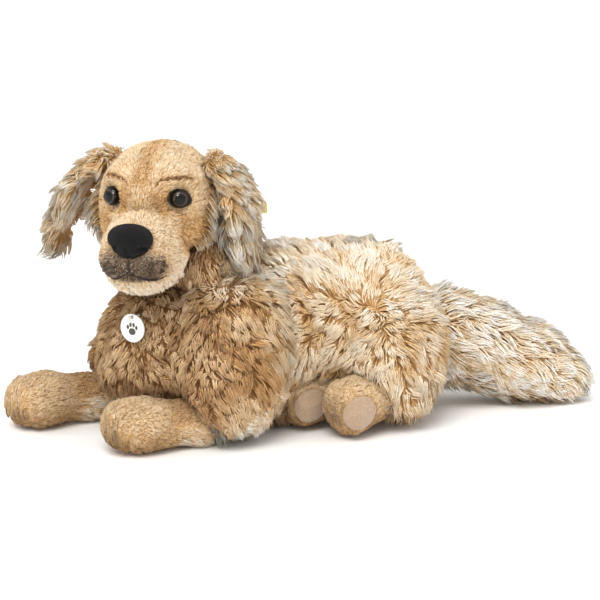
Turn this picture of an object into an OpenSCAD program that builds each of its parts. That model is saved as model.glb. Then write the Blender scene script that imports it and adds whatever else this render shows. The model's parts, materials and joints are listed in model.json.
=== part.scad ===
// Lying plush dog: sewn plush covers over stuffing, with a soft neck, ears, forearms, hind feet and tail.
// The dog faces -X, its left side is -Y, and it lies on the plane z = 0. Millimetres.

/* [Plush] */
// Thickness of the plush covers with their backing
cover_wall = 3.0; // [2:0.5:4]
// Clearance between a cover and the stuffing inside it
seam_gap = 0.6; // [0.3:0.1:0.8]
// Clearance between soft parts that move against each other
joint_gap = 0.8; // [0.6:0.1:1.2]
// Points round each stuffed shape
ring_points = 12; // [12:2:20]

/* [Head] */
// Diameter of each eye
eye_d = 18; // [15:0.5:19]
// Distance between the centres of the eyes
eye_spacing = 66; // [62:1:70]
// Width of the nose
nose_w = 42; // [36:1:46]
// Thickness of each ear flap
ear_t = 12; // [10:1:14]

/* [Trim] */
// Diameter of the chest tag
tag_d = 28; // [24:1:32]
// Thickness of the chest tag
tag_t = 1.6; // [1.2:0.1:2]
// Diameter of the embroidery thread
thread_d = 2.4; // [2:0.2:3]

/* [Hidden] */

// Moves the whole dog so that the origin is under the middle of its outline.
centring = [-11.2, 12.2, 0];

// ---------- soft shapes ----------
// A station is [x, y, z, half width, half height]: an ellipse across the path through all stations.
function station(list, i) = list[max(0, min(len(list) - 1, i))];
function between(list, i, t) =
    let (a = station(list, i - 1), b = station(list, i), c = station(list, i + 1), d = station(list, i + 2))
    0.5 * (2 * b + (c - a) * t + (2 * a - 5 * b + 4 * c - d) * t * t + (3 * b - a - 3 * c + d) * t * t * t);
function finer(list, steps) =
    [for (i = [0 : len(list) - 2]) for (j = [0 : steps - 1]) between(list, i, j / steps), list[len(list) - 1]];
function centre(s) = [s[0], s[1], s[2]];
function unit(v) = v / norm(v);

// Rounded ends: rings that close in on a point one bulge beyond the last station.
dome_angles = [30, 56, 78];
function dome(s, out, bulge) =
    [for (t = dome_angles) [each (centre(s) + out * bulge * sin(t)), s[3] * cos(t), s[4] * cos(t)]];
function reversed(list) = [for (i = [len(list) - 1 : -1 : 0]) list[i]];
function closed_ends(list, first_bulge, last_bulge) =
    let (n = len(list),
         first_out = unit(centre(list[0]) - centre(list[1])),
         last_out = unit(centre(list[n - 1]) - centre(list[n - 2])))
    concat(reversed(dome(list[0], first_out, first_bulge)), list, dome(list[n - 1], last_out, last_bulge));
function shrunk(list, by) = [for (s = list) [s[0], s[1], s[2], max(1, s[3] - by), max(1, s[4] - by)]];

function ring(s, along, up) =
    let (side = unit(cross(along, up)), top = cross(side, along))
    [for (k = [0 : ring_points - 1])
        centre(s) + side * s[3] * cos(360 * k / ring_points) + top * s[4] * sin(360 * k / ring_points)];

// One closed stuffed shape through the stations, taken in by shrink on all sides.
module stuffed(stations, first_bulge, last_bulge, shrink = 0, up = [0, 0, 1], steps = 2) {
    n = ring_points;
    rings = closed_ends(shrunk(finer(stations, steps), shrink), first_bulge - shrink, last_bulge - shrink);
    m = len(rings);
    headings = [for (i = [0 : m - 1]) unit(centre(station(rings, i + 1)) - centre(station(rings, i - 1)))];
    points = [for (i = [0 : m - 1]) each ring(rings[i], headings[i], up)];
    sides = [for (i = [0 : m - 2]) for (k = [0 : n - 1])
                 let (a = i * n + k, b = i * n + (k + 1) % n, c = a + n, d = b + n)
                 each [[a, b, d], [a, d, c]]];
    caps = [[for (k = [n - 1 : -1 : 0]) k], [for (k = [0 : n - 1]) (m - 1) * n + k]];
    polyhedron(points, concat(sides, caps), convexity = 6);
}

// A ball whose rings match the stuffed shapes.
module ball(at, r) {
    stuffed([[at[0] - r / 3, at[1], at[2], r * 0.943, r * 0.943], [at[0], at[1], at[2], r, r],
             [at[0] + r / 3, at[1], at[2], r * 0.943, r * 0.943]], r * 2 / 3, r * 2 / 3, steps = 1);
}

// The room a ball-ended limb needs as it lifts about its ball, from rest to its highest lift.
module limb_room(path, tip, axis, lift, grow) {
    at = centre(path[0]);
    hull()
        for (angle = [0, lift])
            translate(at) rotate(a = angle, v = axis) translate(-at)
                stuffed(path, path[0][3], tip, -grow, steps = 1);
}

// Everything from height upwards.
module above(height) {
    intersection() {
        children();
        translate([-500, -500, height]) cube([1000, 1000, 800]);
    }
}

// Embroidery thread through a list of points.
module thread(points, d) {
    for (i = [0 : len(points) - 2])
        hull() {
            translate(points[i]) sphere(d = d, $fn = 6);
            translate(points[i + 1]) sphere(d = d, $fn = 6);
        }
}

// ---------- torso ----------
torso_path = [[-164, -2, 102, 54, 62], [-130, 0, 88, 75, 80], [-70, 2, 84, 82, 90], [0, 4, 84, 78, 92],
              [60, 2, 84, 82, 91], [112, -4, 78, 76, 84], [146, -10, 68, 52, 60]];
seam_z = 34;
neck_at = [-128, -4, 158];
neck_r = 64;

// Paths of the limbs, each starting at the centre of its ball end.
forearm_left_path = [[-132, -68, 28, 26, 26], [-158, -67, 28, 25, 24], [-186, -64, 27, 29, 27], [-206, -61, 26, 30, 26]];
forearm_right_path = [[-183, 69, 28, 26, 26], [-210, 70, 29, 25, 26], [-240, 69, 28, 30, 28], [-262, 67, 26, 31, 26]];
foot_left_path = [[48, -90, 36, 26, 26], [30, -99, 34, 26, 27], [10, -104, 30, 27, 29]];
foot_right_path = [[16, -46, 34, 26, 26], [-3, -51, 32, 26, 27], [-20, -54, 29, 26, 28]];
tail_root_path = [[168, -20, 76, 42, 42], [192, -29, 66, 44, 45], [214, -37, 58, 41, 43]];
tail_path = [[222, -40, 53, 38, 38], [252, -53, 41, 36, 38], [288, -68, 26, 20, 22]];
paw_tip = 22;
foot_tip = 15;
tail_tip = 18;
lateral = [0, 1, 0];
tail_side = unit([tail_path[2][1] - tail_path[0][1], tail_path[0][0] - tail_path[2][0], 0]);
arm_lift = 25;
foot_lift = 14;
tail_lift = 24;

module torso_outline(s) { stuffed(torso_path, 30, 22, s); }
module neck_room(s) {
    translate([neck_at[0], neck_at[1], neck_at[2] - s]) cylinder(r = neck_r + 2 + s, h = 200, $fn = 32);
}
module tail_room(s) { ball(centre(tail_root_path[0]), tail_root_path[0][3] + 3 * joint_gap + s); }
module torso_form(s) {
    difference() {
        above(s) torso_outline(s);
        neck_room(s);
        tail_room(s);
        limb_room(foot_right_path, foot_tip, lateral, foot_lift, joint_gap + s);
        limb_room(foot_left_path, foot_tip, lateral, foot_lift, joint_gap + s);
        limb_room(forearm_left_path, paw_tip, lateral, arm_lift, joint_gap + s);
    }
}
module torso_cover() {
    difference() {
        torso_form(0);
        torso_form(cover_wall);
    }
}
module flank_panel_left() {
    color("burlywood") difference() {
        intersection() {
            torso_cover();
            translate([-300, -300, seam_z]) cube([600, 300, 300]);
        }
        in_tag() thread([[0, 0, 0], [tag_reach + 1, 0, 0]], 1.2);
    }
}
module flank_panel_right() {
    color("burlywood") intersection() {
        torso_cover();
        translate([-300, 0, seam_z]) cube([600, 300, 300]);
    }
}
module belly_panel() {
    color("wheat") intersection() {
        torso_cover();
        translate([-300, -300, -1]) cube([600, 600, seam_z + 1]);
    }
}
pouch_path = [[-60, 16, 26, 26, 13], [0, 20, 26, 32, 15], [60, 16, 26, 28, 13]];
module torso_stuffing() {
    color("white") difference() {
        torso_form(cover_wall + seam_gap);
        stuffed(pouch_path, 16, 16, -seam_gap);
    }
}
module pellet_pouch() { color("lightgray") stuffed(pouch_path, 16, 16); }

// ---------- upper front legs and left thigh, sewn to the torso ----------
sleeve_left_path = [[-84, -44, 132, 46, 46], [-92, -62, 96, 52, 48], [-104, -70, 58, 50, 44], [-112, -70, 32, 42, 38]];
sleeve_right_path = [[-118, 48, 104, 38, 42], [-132, 61, 76, 42, 41], [-151, 70, 48, 42, 38], [-158, 72, 31, 38, 33]];
thigh_left_path = [[112, -38, 98, 42, 44], [100, -58, 82, 56, 50], [76, -76, 56, 52, 46], [60, -82, 34, 44, 38]];

// A limb sewn to the torso: it stops at the torso and leaves room for the limb that moves in it.
module sewn_on(path, s) {
    difference() {
        above(s) stuffed(path, 20, 14, s, lateral);
        torso_outline(-seam_gap - s);
        neck_room(s);
        children();
    }
}
module sleeve_left_form(s) {
    sewn_on(sleeve_left_path, s) limb_room(forearm_left_path, paw_tip, lateral, arm_lift, joint_gap + s);
}
module sleeve_right_form(s) {
    sewn_on(sleeve_right_path, s) limb_room(forearm_right_path, paw_tip, lateral, arm_lift, joint_gap + s);
}
module thigh_left_form(s) {
    sewn_on(thigh_left_path, s) {
        limb_room(foot_left_path, foot_tip, lateral, foot_lift, joint_gap + s);
        limb_room(foot_right_path, foot_tip, lateral, foot_lift, joint_gap + s);
        tail_room(s);
    }
}
module sleeve_left_cover() {
    color("burlywood") difference() {
        sleeve_left_form(0);
        sleeve_left_form(cover_wall);
    }
}
module sleeve_left_stuffing() { color("white") sleeve_left_form(cover_wall + seam_gap); }
module sleeve_right_cover() {
    color("burlywood") difference() {
        sleeve_right_form(0);
        sleeve_right_form(cover_wall);
    }
}
module sleeve_right_stuffing() { color("white") sleeve_right_form(cover_wall + seam_gap); }
module thigh_left_cover() {
    color("burlywood") difference() {
        thigh_left_form(0);
        thigh_left_form(cover_wall);
    }
}
module thigh_left_stuffing() { color("white") thigh_left_form(cover_wall + seam_gap); }

// ---------- neck ----------
neck_path = [[-128, -4, 150, 63, 63], [-130, -5, 178, 60, 60], [-134, -7, 202, 50, 50]];
module neck_form(s) {
    above(neck_at[2] + joint_gap + s) difference() {
        stuffed(neck_path, 10, 8, s, [0, 1, 0]);
        in_head() head_room(s);
    }
}
module neck_cover() {
    color("wheat") difference() {
        neck_form(0);
        neck_form(cover_wall);
    }
}
module neck_stuffing() { color("white") neck_form(cover_wall + seam_gap); }

// ---------- head ----------
// The head frame: origin on the nod axis, facing -X, its own left side -Y.
head_at = [-143, -8, 234];
head_yaw = 51;
head_ball_r = 59;
skull_path = [[40, 0, 4, 40, 40], [22, 0, 6, 54, 50], [-6, 0, 8, 57, 54], [-30, 0, 4, 54, 48], [-46, 0, -2, 46, 42]];
muzzle_path = [[-44, 1, -29, 37, 32], [-64, 1, -35, 38, 34], [-84, 1, -39, 34, 31]];
chin_path = [[-42, 0, -55, 32, 14], [-58, 0, -60, 33, 13], [-76, 0, -63, 27, 11]];
module in_head() { translate(head_at) rotate([0, 0, head_yaw]) children(); }

// Room in the neck for the head: its round underside, and the jaw in front of it.
module head_room(s) {
    ball([0, 0, 0], head_ball_r + joint_gap + s);
    translate([-200, -100, -86 - s]) cube([182 + s, 200, 100]);
}
module skull_form(s) {
    difference() {
        stuffed(skull_path, 18, 14, s);
        for (side = [-1, 1])
            translate([ear_hinge[0], side * ear_hinge[1], ear_hinge[2]]) rotate([0, 90, 0])
                cylinder(r = ear_t / 2 + joint_gap + s, h = 100, center = true, $fn = 16);
    }
}
module skull_cover() {
    difference() {
        skull_form(0);
        skull_form(cover_wall);
        eye_holes();
    }
}
gusset_w = 44;
module gusset_space() { translate([-100, -gusset_w / 2, -10]) cube([200, gusset_w, 100]); }
module forehead_gusset() {
    color("moccasin") in_head() intersection() {
        skull_cover();
        gusset_space();
    }
}
module cheek_panel(side) {
    in_head() difference() {
        intersection() {
            skull_cover();
            translate([-100, min(0, side * 100), -100]) cube([200, 100, 200]);
        }
        gusset_space();
    }
}
module cheek_panel_left() { color("navajowhite") cheek_panel(-1); }
module cheek_panel_right() { color("navajowhite") cheek_panel(1); }
module head_stuffing() {
    color("white") in_head() difference() {
        skull_form(cover_wall + seam_gap);
        eye_rooms();
    }
}

module muzzle_form(s) {
    difference() {
        stuffed(muzzle_path, 6, 22, s);
        stuffed(skull_path, 18, 14, -seam_gap - s);
    }
}
module nose_shape(grow) {
    translate([-99, 0, -20]) rotate([0, -8, 0]) scale([15 + grow, nose_w / 2 + grow, 16 + grow]) sphere(r = 1, $fn = 20);
}
module muzzle_cover() {
    color("tan") in_head() difference() {
        muzzle_form(0);
        muzzle_form(cover_wall);
        nose_shape(0.2);
        mouth_lines(0.2);
    }
}
module muzzle_stuffing() {
    color("white") in_head() difference() {
        muzzle_form(cover_wall + seam_gap);
        nose_shape(0.6);
        mouth_lines(0.6);
    }
}
module nose() { color("black") in_head() nose_shape(0); }
module mouth_lines(grow) {
    thread([[-107, 0, -40], [-105, 0, -52]], thread_d + grow);
    for (side = [-1, 1]) thread([[-105, 0, -52], [-101, side * 9, -58], [-95, side * 18, -60]], thread_d + grow);
}
module mouth_thread() { color("dimgray") in_head() mouth_lines(0); }
module chin_cover() {
    color("cornsilk") in_head() difference() {
        stuffed(chin_path, 8, 12);
        stuffed(muzzle_path, 6, 22, -seam_gap);
        stuffed(skull_path, 18, 14, -seam_gap);
        mouth_lines(0.2);
    }
}

// Eyes: a glossy dome on a ribbed shank, a black felt behind it and a washer inside the cover.
eye_x = -50;
eye_z = 14;
eye_turn = 24;
shank_d = 5;
module at_eye(side) {
    translate([eye_x, side * eye_spacing / 2, eye_z]) rotate([0, -90, 0]) rotate([-side * eye_turn, 0, 0]) children();
}
module eye(side) {
    at_eye(side) {
        intersection() {
            translate([0, 0, -eye_d * 0.16]) sphere(d = eye_d * 1.04, $fn = 32);
            translate([0, 0, 0]) cylinder(d = eye_d, h = eye_d, $fn = 32);
        }
        translate([0, 0, -16]) cylinder(d = shank_d, h = 16, $fn = 16);
    }
}
module felt(side) {
    at_eye(side) translate([0, 0, -1.4]) difference() {
        union() {
            cylinder(d = eye_d + 5, h = 1.2, $fn = 32);
            translate([-2, side * (eye_d / 2 + 1), 0]) cylinder(d = 7, h = 1.2, $fn = 3);
        }
        translate([0, 0, -1]) cylinder(d = shank_d + 0.2, h = 4, $fn = 16);
    }
}
module washer(side) {
    at_eye(side) translate([0, 0, -13]) difference() {
        cylinder(d = 13, h = 1.5, $fn = 24);
        translate([0, 0, -1]) cylinder(d = shank_d + 0.2, h = 4, $fn = 16);
    }
}
module eye_holes() {
    for (side = [-1, 1]) at_eye(side) {
        translate([0, 0, -1.6]) cylinder(d = eye_d + 9, h = 40, $fn = 24);
        translate([0, 0, -30]) cylinder(d = shank_d + 0.4, h = 40, $fn = 16);
    }
}
module eye_rooms() {
    for (side = [-1, 1]) at_eye(side) {
        translate([0, 0, -17]) cylinder(d = 15, h = 40, $fn = 24);
        translate([0, 0, -5]) cylinder(d = eye_d + 11, h = 40, $fn = 24);
    }
}
module eye_left() { color("black") in_head() eye(-1); }
module eye_right() { color("black") in_head() eye(1); }
module eye_felt_left() { color("dimgray") in_head() felt(-1); }
module eye_felt_right() { color("dimgray") in_head() felt(1); }
module eye_washer_left() { color("white") in_head() washer(-1); }
module eye_washer_right() { color("white") in_head() washer(1); }

// ---------- ears ----------
// An ear hangs from a hinge roll along the head's X; its lining is the flap's inner face.
ear_hinge = [6, 51, 42];
ear_right_lift = 20;
ear_path = [[0, 0, 0, 24, ear_t / 2], [1, 16, -18, 31, ear_t / 2], [2, 26, -48, 35, ear_t / 2],
            [0, 27, -80, 27, ear_t / 2 - 1]];
lining_t = 3;
module ear_flap() { stuffed(ear_path, ear_t / 2, 20, 0, [0, 1, 0]); }
module lining_space(gap) {
    stuffed([for (s = ear_path) [s[0], s[1] - ear_t / 2 + 0.5, s[2] - 8, s[3] - 8 + gap, lining_t / 2 + gap]],
            8 + gap, 8 + gap, 0, lateral);
}
module label(grow) { translate([40, 27, -52]) cube([16 + grow, 1.2 + grow, 10 + grow], center = true); }
module in_ear(side, lift) {
    translate([ear_hinge[0], side * ear_hinge[1], ear_hinge[2]]) rotate([side * lift, 0, 0])
        mirror([0, side < 0 ? 1 : 0, 0]) children();
}
module ear_cover(labelled) {
    difference() {
        ear_flap();
        lining_space(seam_gap);
        if (labelled) label(0.2);
    }
}
module ear_lining() {
    intersection() {
        ear_flap();
        lining_space(0);
    }
}
module ear_left_cover() { color("moccasin") in_head() in_ear(-1, 0) ear_cover(true); }
module ear_left_lining() { color("tan") in_head() in_ear(-1, 0) ear_lining(); }
module ear_label() {
    color("khaki") in_head() in_ear(-1, 0) label(0);
}
module ear_right_cover() { color("moccasin") in_head() in_ear(1, ear_right_lift) ear_cover(false); }
module ear_right_lining() { color("tan") in_head() in_ear(1, ear_right_lift) ear_lining(); }

// ---------- chest tag ----------
tag_at = [-190, -46, 131];
tag_turn = 32;
tag_hole_d = 3.4;
tag_reach = 12;
module in_tag() { translate(tag_at) rotate([0, 0, tag_turn]) children(); }
module chest_tag() {
    color("ivory") in_tag() translate([tag_t / 2, 0, -tag_d / 2 + 3]) rotate([0, -90, 0]) difference() {
        cylinder(d = tag_d, h = tag_t, $fn = 48);
        translate([tag_d / 2 - 3, 0, -1]) cylinder(d = tag_hole_d, h = 4, $fn = 16);
    }
}
module tag_thread() {
    color("white") in_tag() {
        thread([[-5, 0, 0], [tag_reach, 0, 0]], 1);
        translate([-5, 0, 0]) sphere(d = 4, $fn = 12);
    }
}

// ---------- forearms, hind feet and tail ----------
module limb_form(path, tip, s) { above(s) stuffed(path, path[0][3], tip, s); }
module limb_cover(path, tip) {
    difference() {
        limb_form(path, tip, 0);
        limb_form(path, tip, cover_wall);
        toe_lines(path, tip, 0.2);
    }
}
module limb_stuffing(path, tip) { color("white") limb_form(path, tip, cover_wall + seam_gap); }

// A point on a limb's rounded tip: u across and v up, both as shares of the last station's half sizes.
function on_tip(path, tip, u, v) =
    let (last = path[len(path) - 1], out = unit(centre(last) - centre(path[len(path) - 2])),
         side = unit(cross(out, [0, 0, 1])), top = cross(side, out))
    centre(last) + out * (tip - thread_d / 3) * sqrt(1 - u * u - v * v) + side * last[3] * u + top * last[4] * v;

// Toe stitches pull the tip in between the toes.
toe_places = [-0.36, 0, 0.36];
toe_heights = [0.3, -0.05, -0.4];
module toe_lines(path, tip, grow) {
    for (u = toe_places) thread([for (v = toe_heights) on_tip(path, tip, u, v)], thread_d + grow);
}
module toe_thread(path, tip) { color("saddlebrown") toe_lines(path, tip, 0); }

// A suede sole is a thin patch that lies on the foot's outer side.
sole_d = 36;
sole_t = 1.4;
module foot_sole(path) {
    color("cornsilk") intersection() {
        difference() {
            limb_form(path, foot_tip, -sole_t);
            limb_form(path, foot_tip, 0);
        }
        translate([path[2][0] + 11, path[2][1], path[2][2]]) rotate([90, 0, -8]) cylinder(d = sole_d, h = 60, $fn = 24);
    }
}
module forearm_left_cover() { color("tan") limb_cover(forearm_left_path, paw_tip); }
module forearm_left_stuffing() { limb_stuffing(forearm_left_path, paw_tip); }
module forearm_left_toe_thread() { toe_thread(forearm_left_path, paw_tip); }
module forearm_right_cover() { color("tan") limb_cover(forearm_right_path, paw_tip); }
module forearm_right_stuffing() { limb_stuffing(forearm_right_path, paw_tip); }
module forearm_right_toe_thread() { toe_thread(forearm_right_path, paw_tip); }
module foot_left_cover() { color("tan") limb_cover(foot_left_path, foot_tip); }
module foot_left_stuffing() { limb_stuffing(foot_left_path, foot_tip); }
module foot_left_sole() { foot_sole(foot_left_path); }
module foot_left_toe_thread() { toe_thread(foot_left_path, foot_tip); }
module foot_right_cover() { color("tan") limb_cover(foot_right_path, foot_tip); }
module foot_right_stuffing() { limb_stuffing(foot_right_path, foot_tip); }
module foot_right_sole() { foot_sole(foot_right_path); }
module foot_right_toe_thread() { toe_thread(foot_right_path, foot_tip); }

tail_root_tip = 20;
module tail_root_form(s) {
    difference() {
        limb_form(tail_root_path, tail_root_tip, s);
        limb_room(tail_path, tail_tip, tail_side, tail_lift, 3 * joint_gap + s);
    }
}
module tail_root_cover() {
    color("burlywood") difference() {
        tail_root_form(0);
        tail_root_form(cover_wall);
    }
}
module tail_root_stuffing() { color("white") tail_root_form(cover_wall + seam_gap); }
module tail_cover() {
    color("burlywood") difference() {
        limb_form(tail_path, tail_tip, 0);
        limb_form(tail_path, tail_tip, cover_wall);
    }
}
module tail_stuffing() { limb_stuffing(tail_path, tail_tip); }

translate(centring) {
    flank_panel_left();
    flank_panel_right();
    belly_panel();
    torso_stuffing();
    pellet_pouch();
    sleeve_left_cover();
    sleeve_left_stuffing();
    sleeve_right_cover();
    sleeve_right_stuffing();
    thigh_left_cover();
    thigh_left_stuffing();
    tag_thread();
    chest_tag();
    neck_cover();
    neck_stuffing();
    forehead_gusset();
    cheek_panel_left();
    cheek_panel_right();
    head_stuffing();
    muzzle_cover();
    muzzle_stuffing();
    chin_cover();
    nose();
    mouth_thread();
    eye_left();
    eye_right();
    eye_felt_left();
    eye_felt_right();
    eye_washer_left();
    eye_washer_right();
    ear_left_cover();
    ear_left_lining();
    ear_label();
    ear_right_cover();
    ear_right_lining();
    forearm_left_cover();
    forearm_left_stuffing();
    forearm_left_toe_thread();
    forearm_right_cover();
    forearm_right_stuffing();
    forearm_right_toe_thread();
    foot_left_cover();
    foot_left_stuffing();
    foot_left_sole();
    foot_left_toe_thread();
    foot_right_cover();
    foot_right_stuffing();
    foot_right_sole();
    foot_right_toe_thread();
    tail_root_cover();
    tail_root_stuffing();
    tail_cover();
    tail_stuffing();
}
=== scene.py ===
"""Builds the covers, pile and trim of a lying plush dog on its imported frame."""

import json
import math

import bpy
import numpy as np
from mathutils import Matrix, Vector
from mathutils.bvhtree import BVHTree
from mathutils.kdtree import KDTree


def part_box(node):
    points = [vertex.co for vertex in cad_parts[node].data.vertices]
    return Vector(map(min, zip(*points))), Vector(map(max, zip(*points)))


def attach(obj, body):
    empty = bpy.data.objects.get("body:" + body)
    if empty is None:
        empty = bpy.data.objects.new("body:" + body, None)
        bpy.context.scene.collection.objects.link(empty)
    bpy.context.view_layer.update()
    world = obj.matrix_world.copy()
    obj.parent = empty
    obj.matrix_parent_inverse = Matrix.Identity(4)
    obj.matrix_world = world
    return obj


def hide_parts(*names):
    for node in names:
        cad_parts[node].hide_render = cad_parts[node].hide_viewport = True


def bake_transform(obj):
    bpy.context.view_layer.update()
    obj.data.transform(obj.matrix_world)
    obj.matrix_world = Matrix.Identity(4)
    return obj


bl_info = {
    "name": "Lying Plush Dog",
    "version": (1, 0, 0),
    "blender": (4, 5, 0),
    "location": "View3D > Sidebar > Plush Dog",
    "description": "Sewn covers, combed pile and trim of a lying plush dog",
    "category": "Add Mesh",
}

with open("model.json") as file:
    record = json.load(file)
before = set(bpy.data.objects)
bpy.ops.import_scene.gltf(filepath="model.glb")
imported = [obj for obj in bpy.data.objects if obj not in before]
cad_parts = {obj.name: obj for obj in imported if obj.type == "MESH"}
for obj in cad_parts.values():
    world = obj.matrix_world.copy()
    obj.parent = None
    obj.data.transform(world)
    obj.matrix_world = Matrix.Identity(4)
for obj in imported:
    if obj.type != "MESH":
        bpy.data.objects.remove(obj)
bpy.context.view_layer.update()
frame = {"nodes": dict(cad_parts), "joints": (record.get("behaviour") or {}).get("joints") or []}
NODES = frame["nodes"]
JOINTS = {j["name"]: j for j in frame["joints"]}
MM = 0.001
LIMBS = ("forearm_left", "forearm_right", "foot_left", "foot_right")
MERGE = 1e-5  # vertices closer than this are one
COVER_FLOOR = 0.0006  # lowest height of a cover
PILE_FLOOR = 0.0005  # lowest height of a lock

# The head's own frame: its origin is on the nod axis, and it faces its -X.
HEAD_AT = np.array(JOINTS["head_nod"]["pos_m"])
HEAD_RIGHT = np.array(JOINTS["head_nod"]["axis"])
HEAD_BACK = np.array([HEAD_RIGHT[1], -HEAD_RIGHT[0], 0.0])
UP = np.array([0.0, 0.0, 1.0])
EYE_TURN = math.radians(24)
EAR_LIFT = math.radians(20)


def to_head(points):
    """Points of the shared frame, in the head's own frame and in millimetres."""
    d = np.asarray(points) - HEAD_AT
    return np.stack([d @ HEAD_BACK, d @ HEAD_RIGHT, d[..., 2]], -1) / MM


def head_vector(x, y, z):
    return HEAD_BACK * x + HEAD_RIGHT * y + UP * z


def from_head(x, y, z):
    return HEAD_AT + head_vector(x, y, z) * MM


def box_centre(node):
    low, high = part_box(node)
    return np.array((low + high) / 2)


def unit(v):
    v = np.asarray(v, float)
    return v / np.maximum(np.linalg.norm(v, axis=-1, keepdims=True), 1e-9)


def smooth_step(x, low, high):
    t = np.clip((x - low) / (high - low), 0, 1)
    return t * t * (3 - 2 * t)


def bump_at(points, centre, radius):
    """1 at centre, falling to 0 at radius."""
    d = np.linalg.norm(points - np.asarray(centre), axis=-1) / radius
    return np.where(d < 1, (1 - d**2) ** 2, 0)


# ---------- colours ----------
def linear(rgb):
    c = np.asarray(rgb, float) / 255
    return np.where(c <= 0.04045, c / 12.92, ((c + 0.055) / 1.055) ** 2.4)


# Dyed fibre shades. Every lock of pile takes one shade for its root, one for its middle and one for its tip.
SHADES = {
    "umber": (98, 68, 44),
    "chestnut": (140, 100, 62),
    "ochre": (172, 127, 80),
    "gold": (196, 151, 98),
    "amber": (211, 170, 118),
    "honey": (222, 186, 138),
    "sand": (230, 202, 163),
    "straw": (236, 214, 182),
    "cream": (241, 225, 200),
    "ivory": (245, 235, 218),
    "white_tip": (250, 245, 237),
    "soot": (56, 49, 44),
    "smoke": (98, 86, 74),
    "ash": (148, 133, 114),
    "fawn": (164, 128, 92),
    "biscuit": (196, 160, 120),
    "oat": (219, 190, 154),
}
SHADE_NAMES = list(SHADES)
SHADE_TABLE = np.array([SHADES[n] for n in SHADE_NAMES], float)


# ---------- materials ----------
def new_material(name):
    """(material, node tree, shader), or (material, None, None) if it was made before."""
    mat = bpy.data.materials.get(name)
    if mat:
        return mat, None, None
    mat = bpy.data.materials.new(name)
    mat.use_nodes = True
    return mat, mat.node_tree, mat.node_tree.nodes["Principled BSDF"]


def set_inputs(tree, node, inputs):
    """Gives a node's inputs their values, or links them where the value is another node's output."""
    for socket, value in inputs.items():
        if isinstance(value, bpy.types.NodeSocket):
            tree.links.new(value, node.inputs[socket])
        else:
            node.inputs[socket].default_value = value


def add_node(tree, kind, inputs=None, **settings):
    node = tree.nodes.new("ShaderNode" + kind)
    for key, value in settings.items():
        setattr(node, key, value)
    set_inputs(tree, node, inputs or {})
    return node


def mix_colours(tree, share, first, second):
    """The output of a mix of two colours, first where share is 0 and second where it is 1."""
    mix = add_node(tree, "Mix", {0: share, 6: (*first, 1), 7: (*second, 1)}, data_type="RGBA")
    return mix.outputs[2]


def raised_by(tree, height, strength, distance):
    """The output of a bump that follows height."""
    bump = add_node(tree, "Bump", {"Strength": strength, "Distance": distance, "Height": height})
    return bump.outputs["Normal"]


def fibre(shade):
    """The finish of one dyed fibre shade: soft and matt."""
    mat, tree, shader = new_material("fibre_" + shade)
    if tree:
        set_inputs(tree, shader, {
            "Base Color": (*linear(SHADES[shade]), 1), "Roughness": 0.85, "Specular IOR Level": 0.1,
        })
    return mat


def fabric(name, light, dark, scale, bump=0.2, roughness=0.9, sheen=0.3):
    """A mottled cloth: two colours through noise, and a fine raised grain."""
    mat, tree, shader = new_material(name)
    if not tree:
        return mat
    place = add_node(tree, "TexCoord").outputs["Object"]
    noise = add_node(tree, "TexNoise", {"Scale": scale, "Detail": 4.0, "Vector": place})
    share = add_node(tree, "MapRange", {"From Min": 0.3, "From Max": 0.7, "Value": noise.outputs["Fac"]})
    grain = add_node(tree, "TexNoise", {"Scale": scale * 6, "Vector": place})
    set_inputs(tree, shader, {
        "Base Color": mix_colours(tree, share.outputs["Result"], linear(dark), linear(light)),
        "Normal": raised_by(tree, grain.outputs["Fac"], bump, MM),
        "Roughness": roughness,
        "Sheen Weight": sheen,
        "Specular IOR Level": 0.2,
    })
    return mat


def long_pile_backing():
    return fabric("long_pile_backing", (196, 150, 92), (160, 114, 64), 180)


def short_pile_backing():
    return fabric("short_pile_backing", (214, 178, 126), (186, 146, 96), 260)


def give(obj, mat):
    obj.data.materials.clear()
    obj.data.materials.append(mat)
    return obj


# ---------- mesh helpers ----------
def deselect():
    if bpy.context.object and bpy.context.object.mode != "OBJECT":
        bpy.ops.object.mode_set(mode="OBJECT")
    bpy.ops.object.select_all(action="DESELECT")


def pick(obj):
    deselect()
    obj.select_set(True)
    bpy.context.view_layer.objects.active = obj


def coordinates(obj):
    co = np.empty(len(obj.data.vertices) * 3)
    obj.data.vertices.foreach_get("co", co)
    return co.reshape(-1, 3)


def set_coordinates(obj, co):
    obj.data.vertices.foreach_set("co", np.ascontiguousarray(co, dtype=np.float32).ravel())
    obj.data.update()


def normals(obj):
    n = np.empty(len(obj.data.vertices) * 3)
    obj.data.vertices.foreach_get("normal", n)
    return n.reshape(-1, 3)


def triangles(obj):
    obj.data.calc_loop_triangles()
    t = np.empty(len(obj.data.loop_triangles) * 3, int)
    obj.data.loop_triangles.foreach_get("vertices", t)
    return t.reshape(-1, 3)


def edit_all(obj, operator, **settings):
    """Runs one edit-mode operator on the whole mesh."""
    pick(obj)
    bpy.ops.object.mode_set(mode="EDIT")
    bpy.ops.mesh.select_all(action="SELECT")
    operator(**settings)
    bpy.ops.object.mode_set(mode="OBJECT")


def apply(obj, kind, **settings):
    """Adds one modifier with these settings and applies it."""
    pick(obj)
    mod = obj.modifiers.new("shape", kind)
    for key, value in settings.items():
        setattr(mod, key, value)
    bpy.ops.object.modifier_apply(modifier=mod.name)


def smooth_shaded(obj):
    obj.data.polygons.foreach_set("use_smooth", [True] * len(obj.data.polygons))


def flatten(obj):
    """Puts the object's place into its mesh."""
    pick(obj)
    bpy.ops.object.transform_apply(location=True, rotation=True, scale=True)


PUFF_FRAMES = 20


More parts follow.
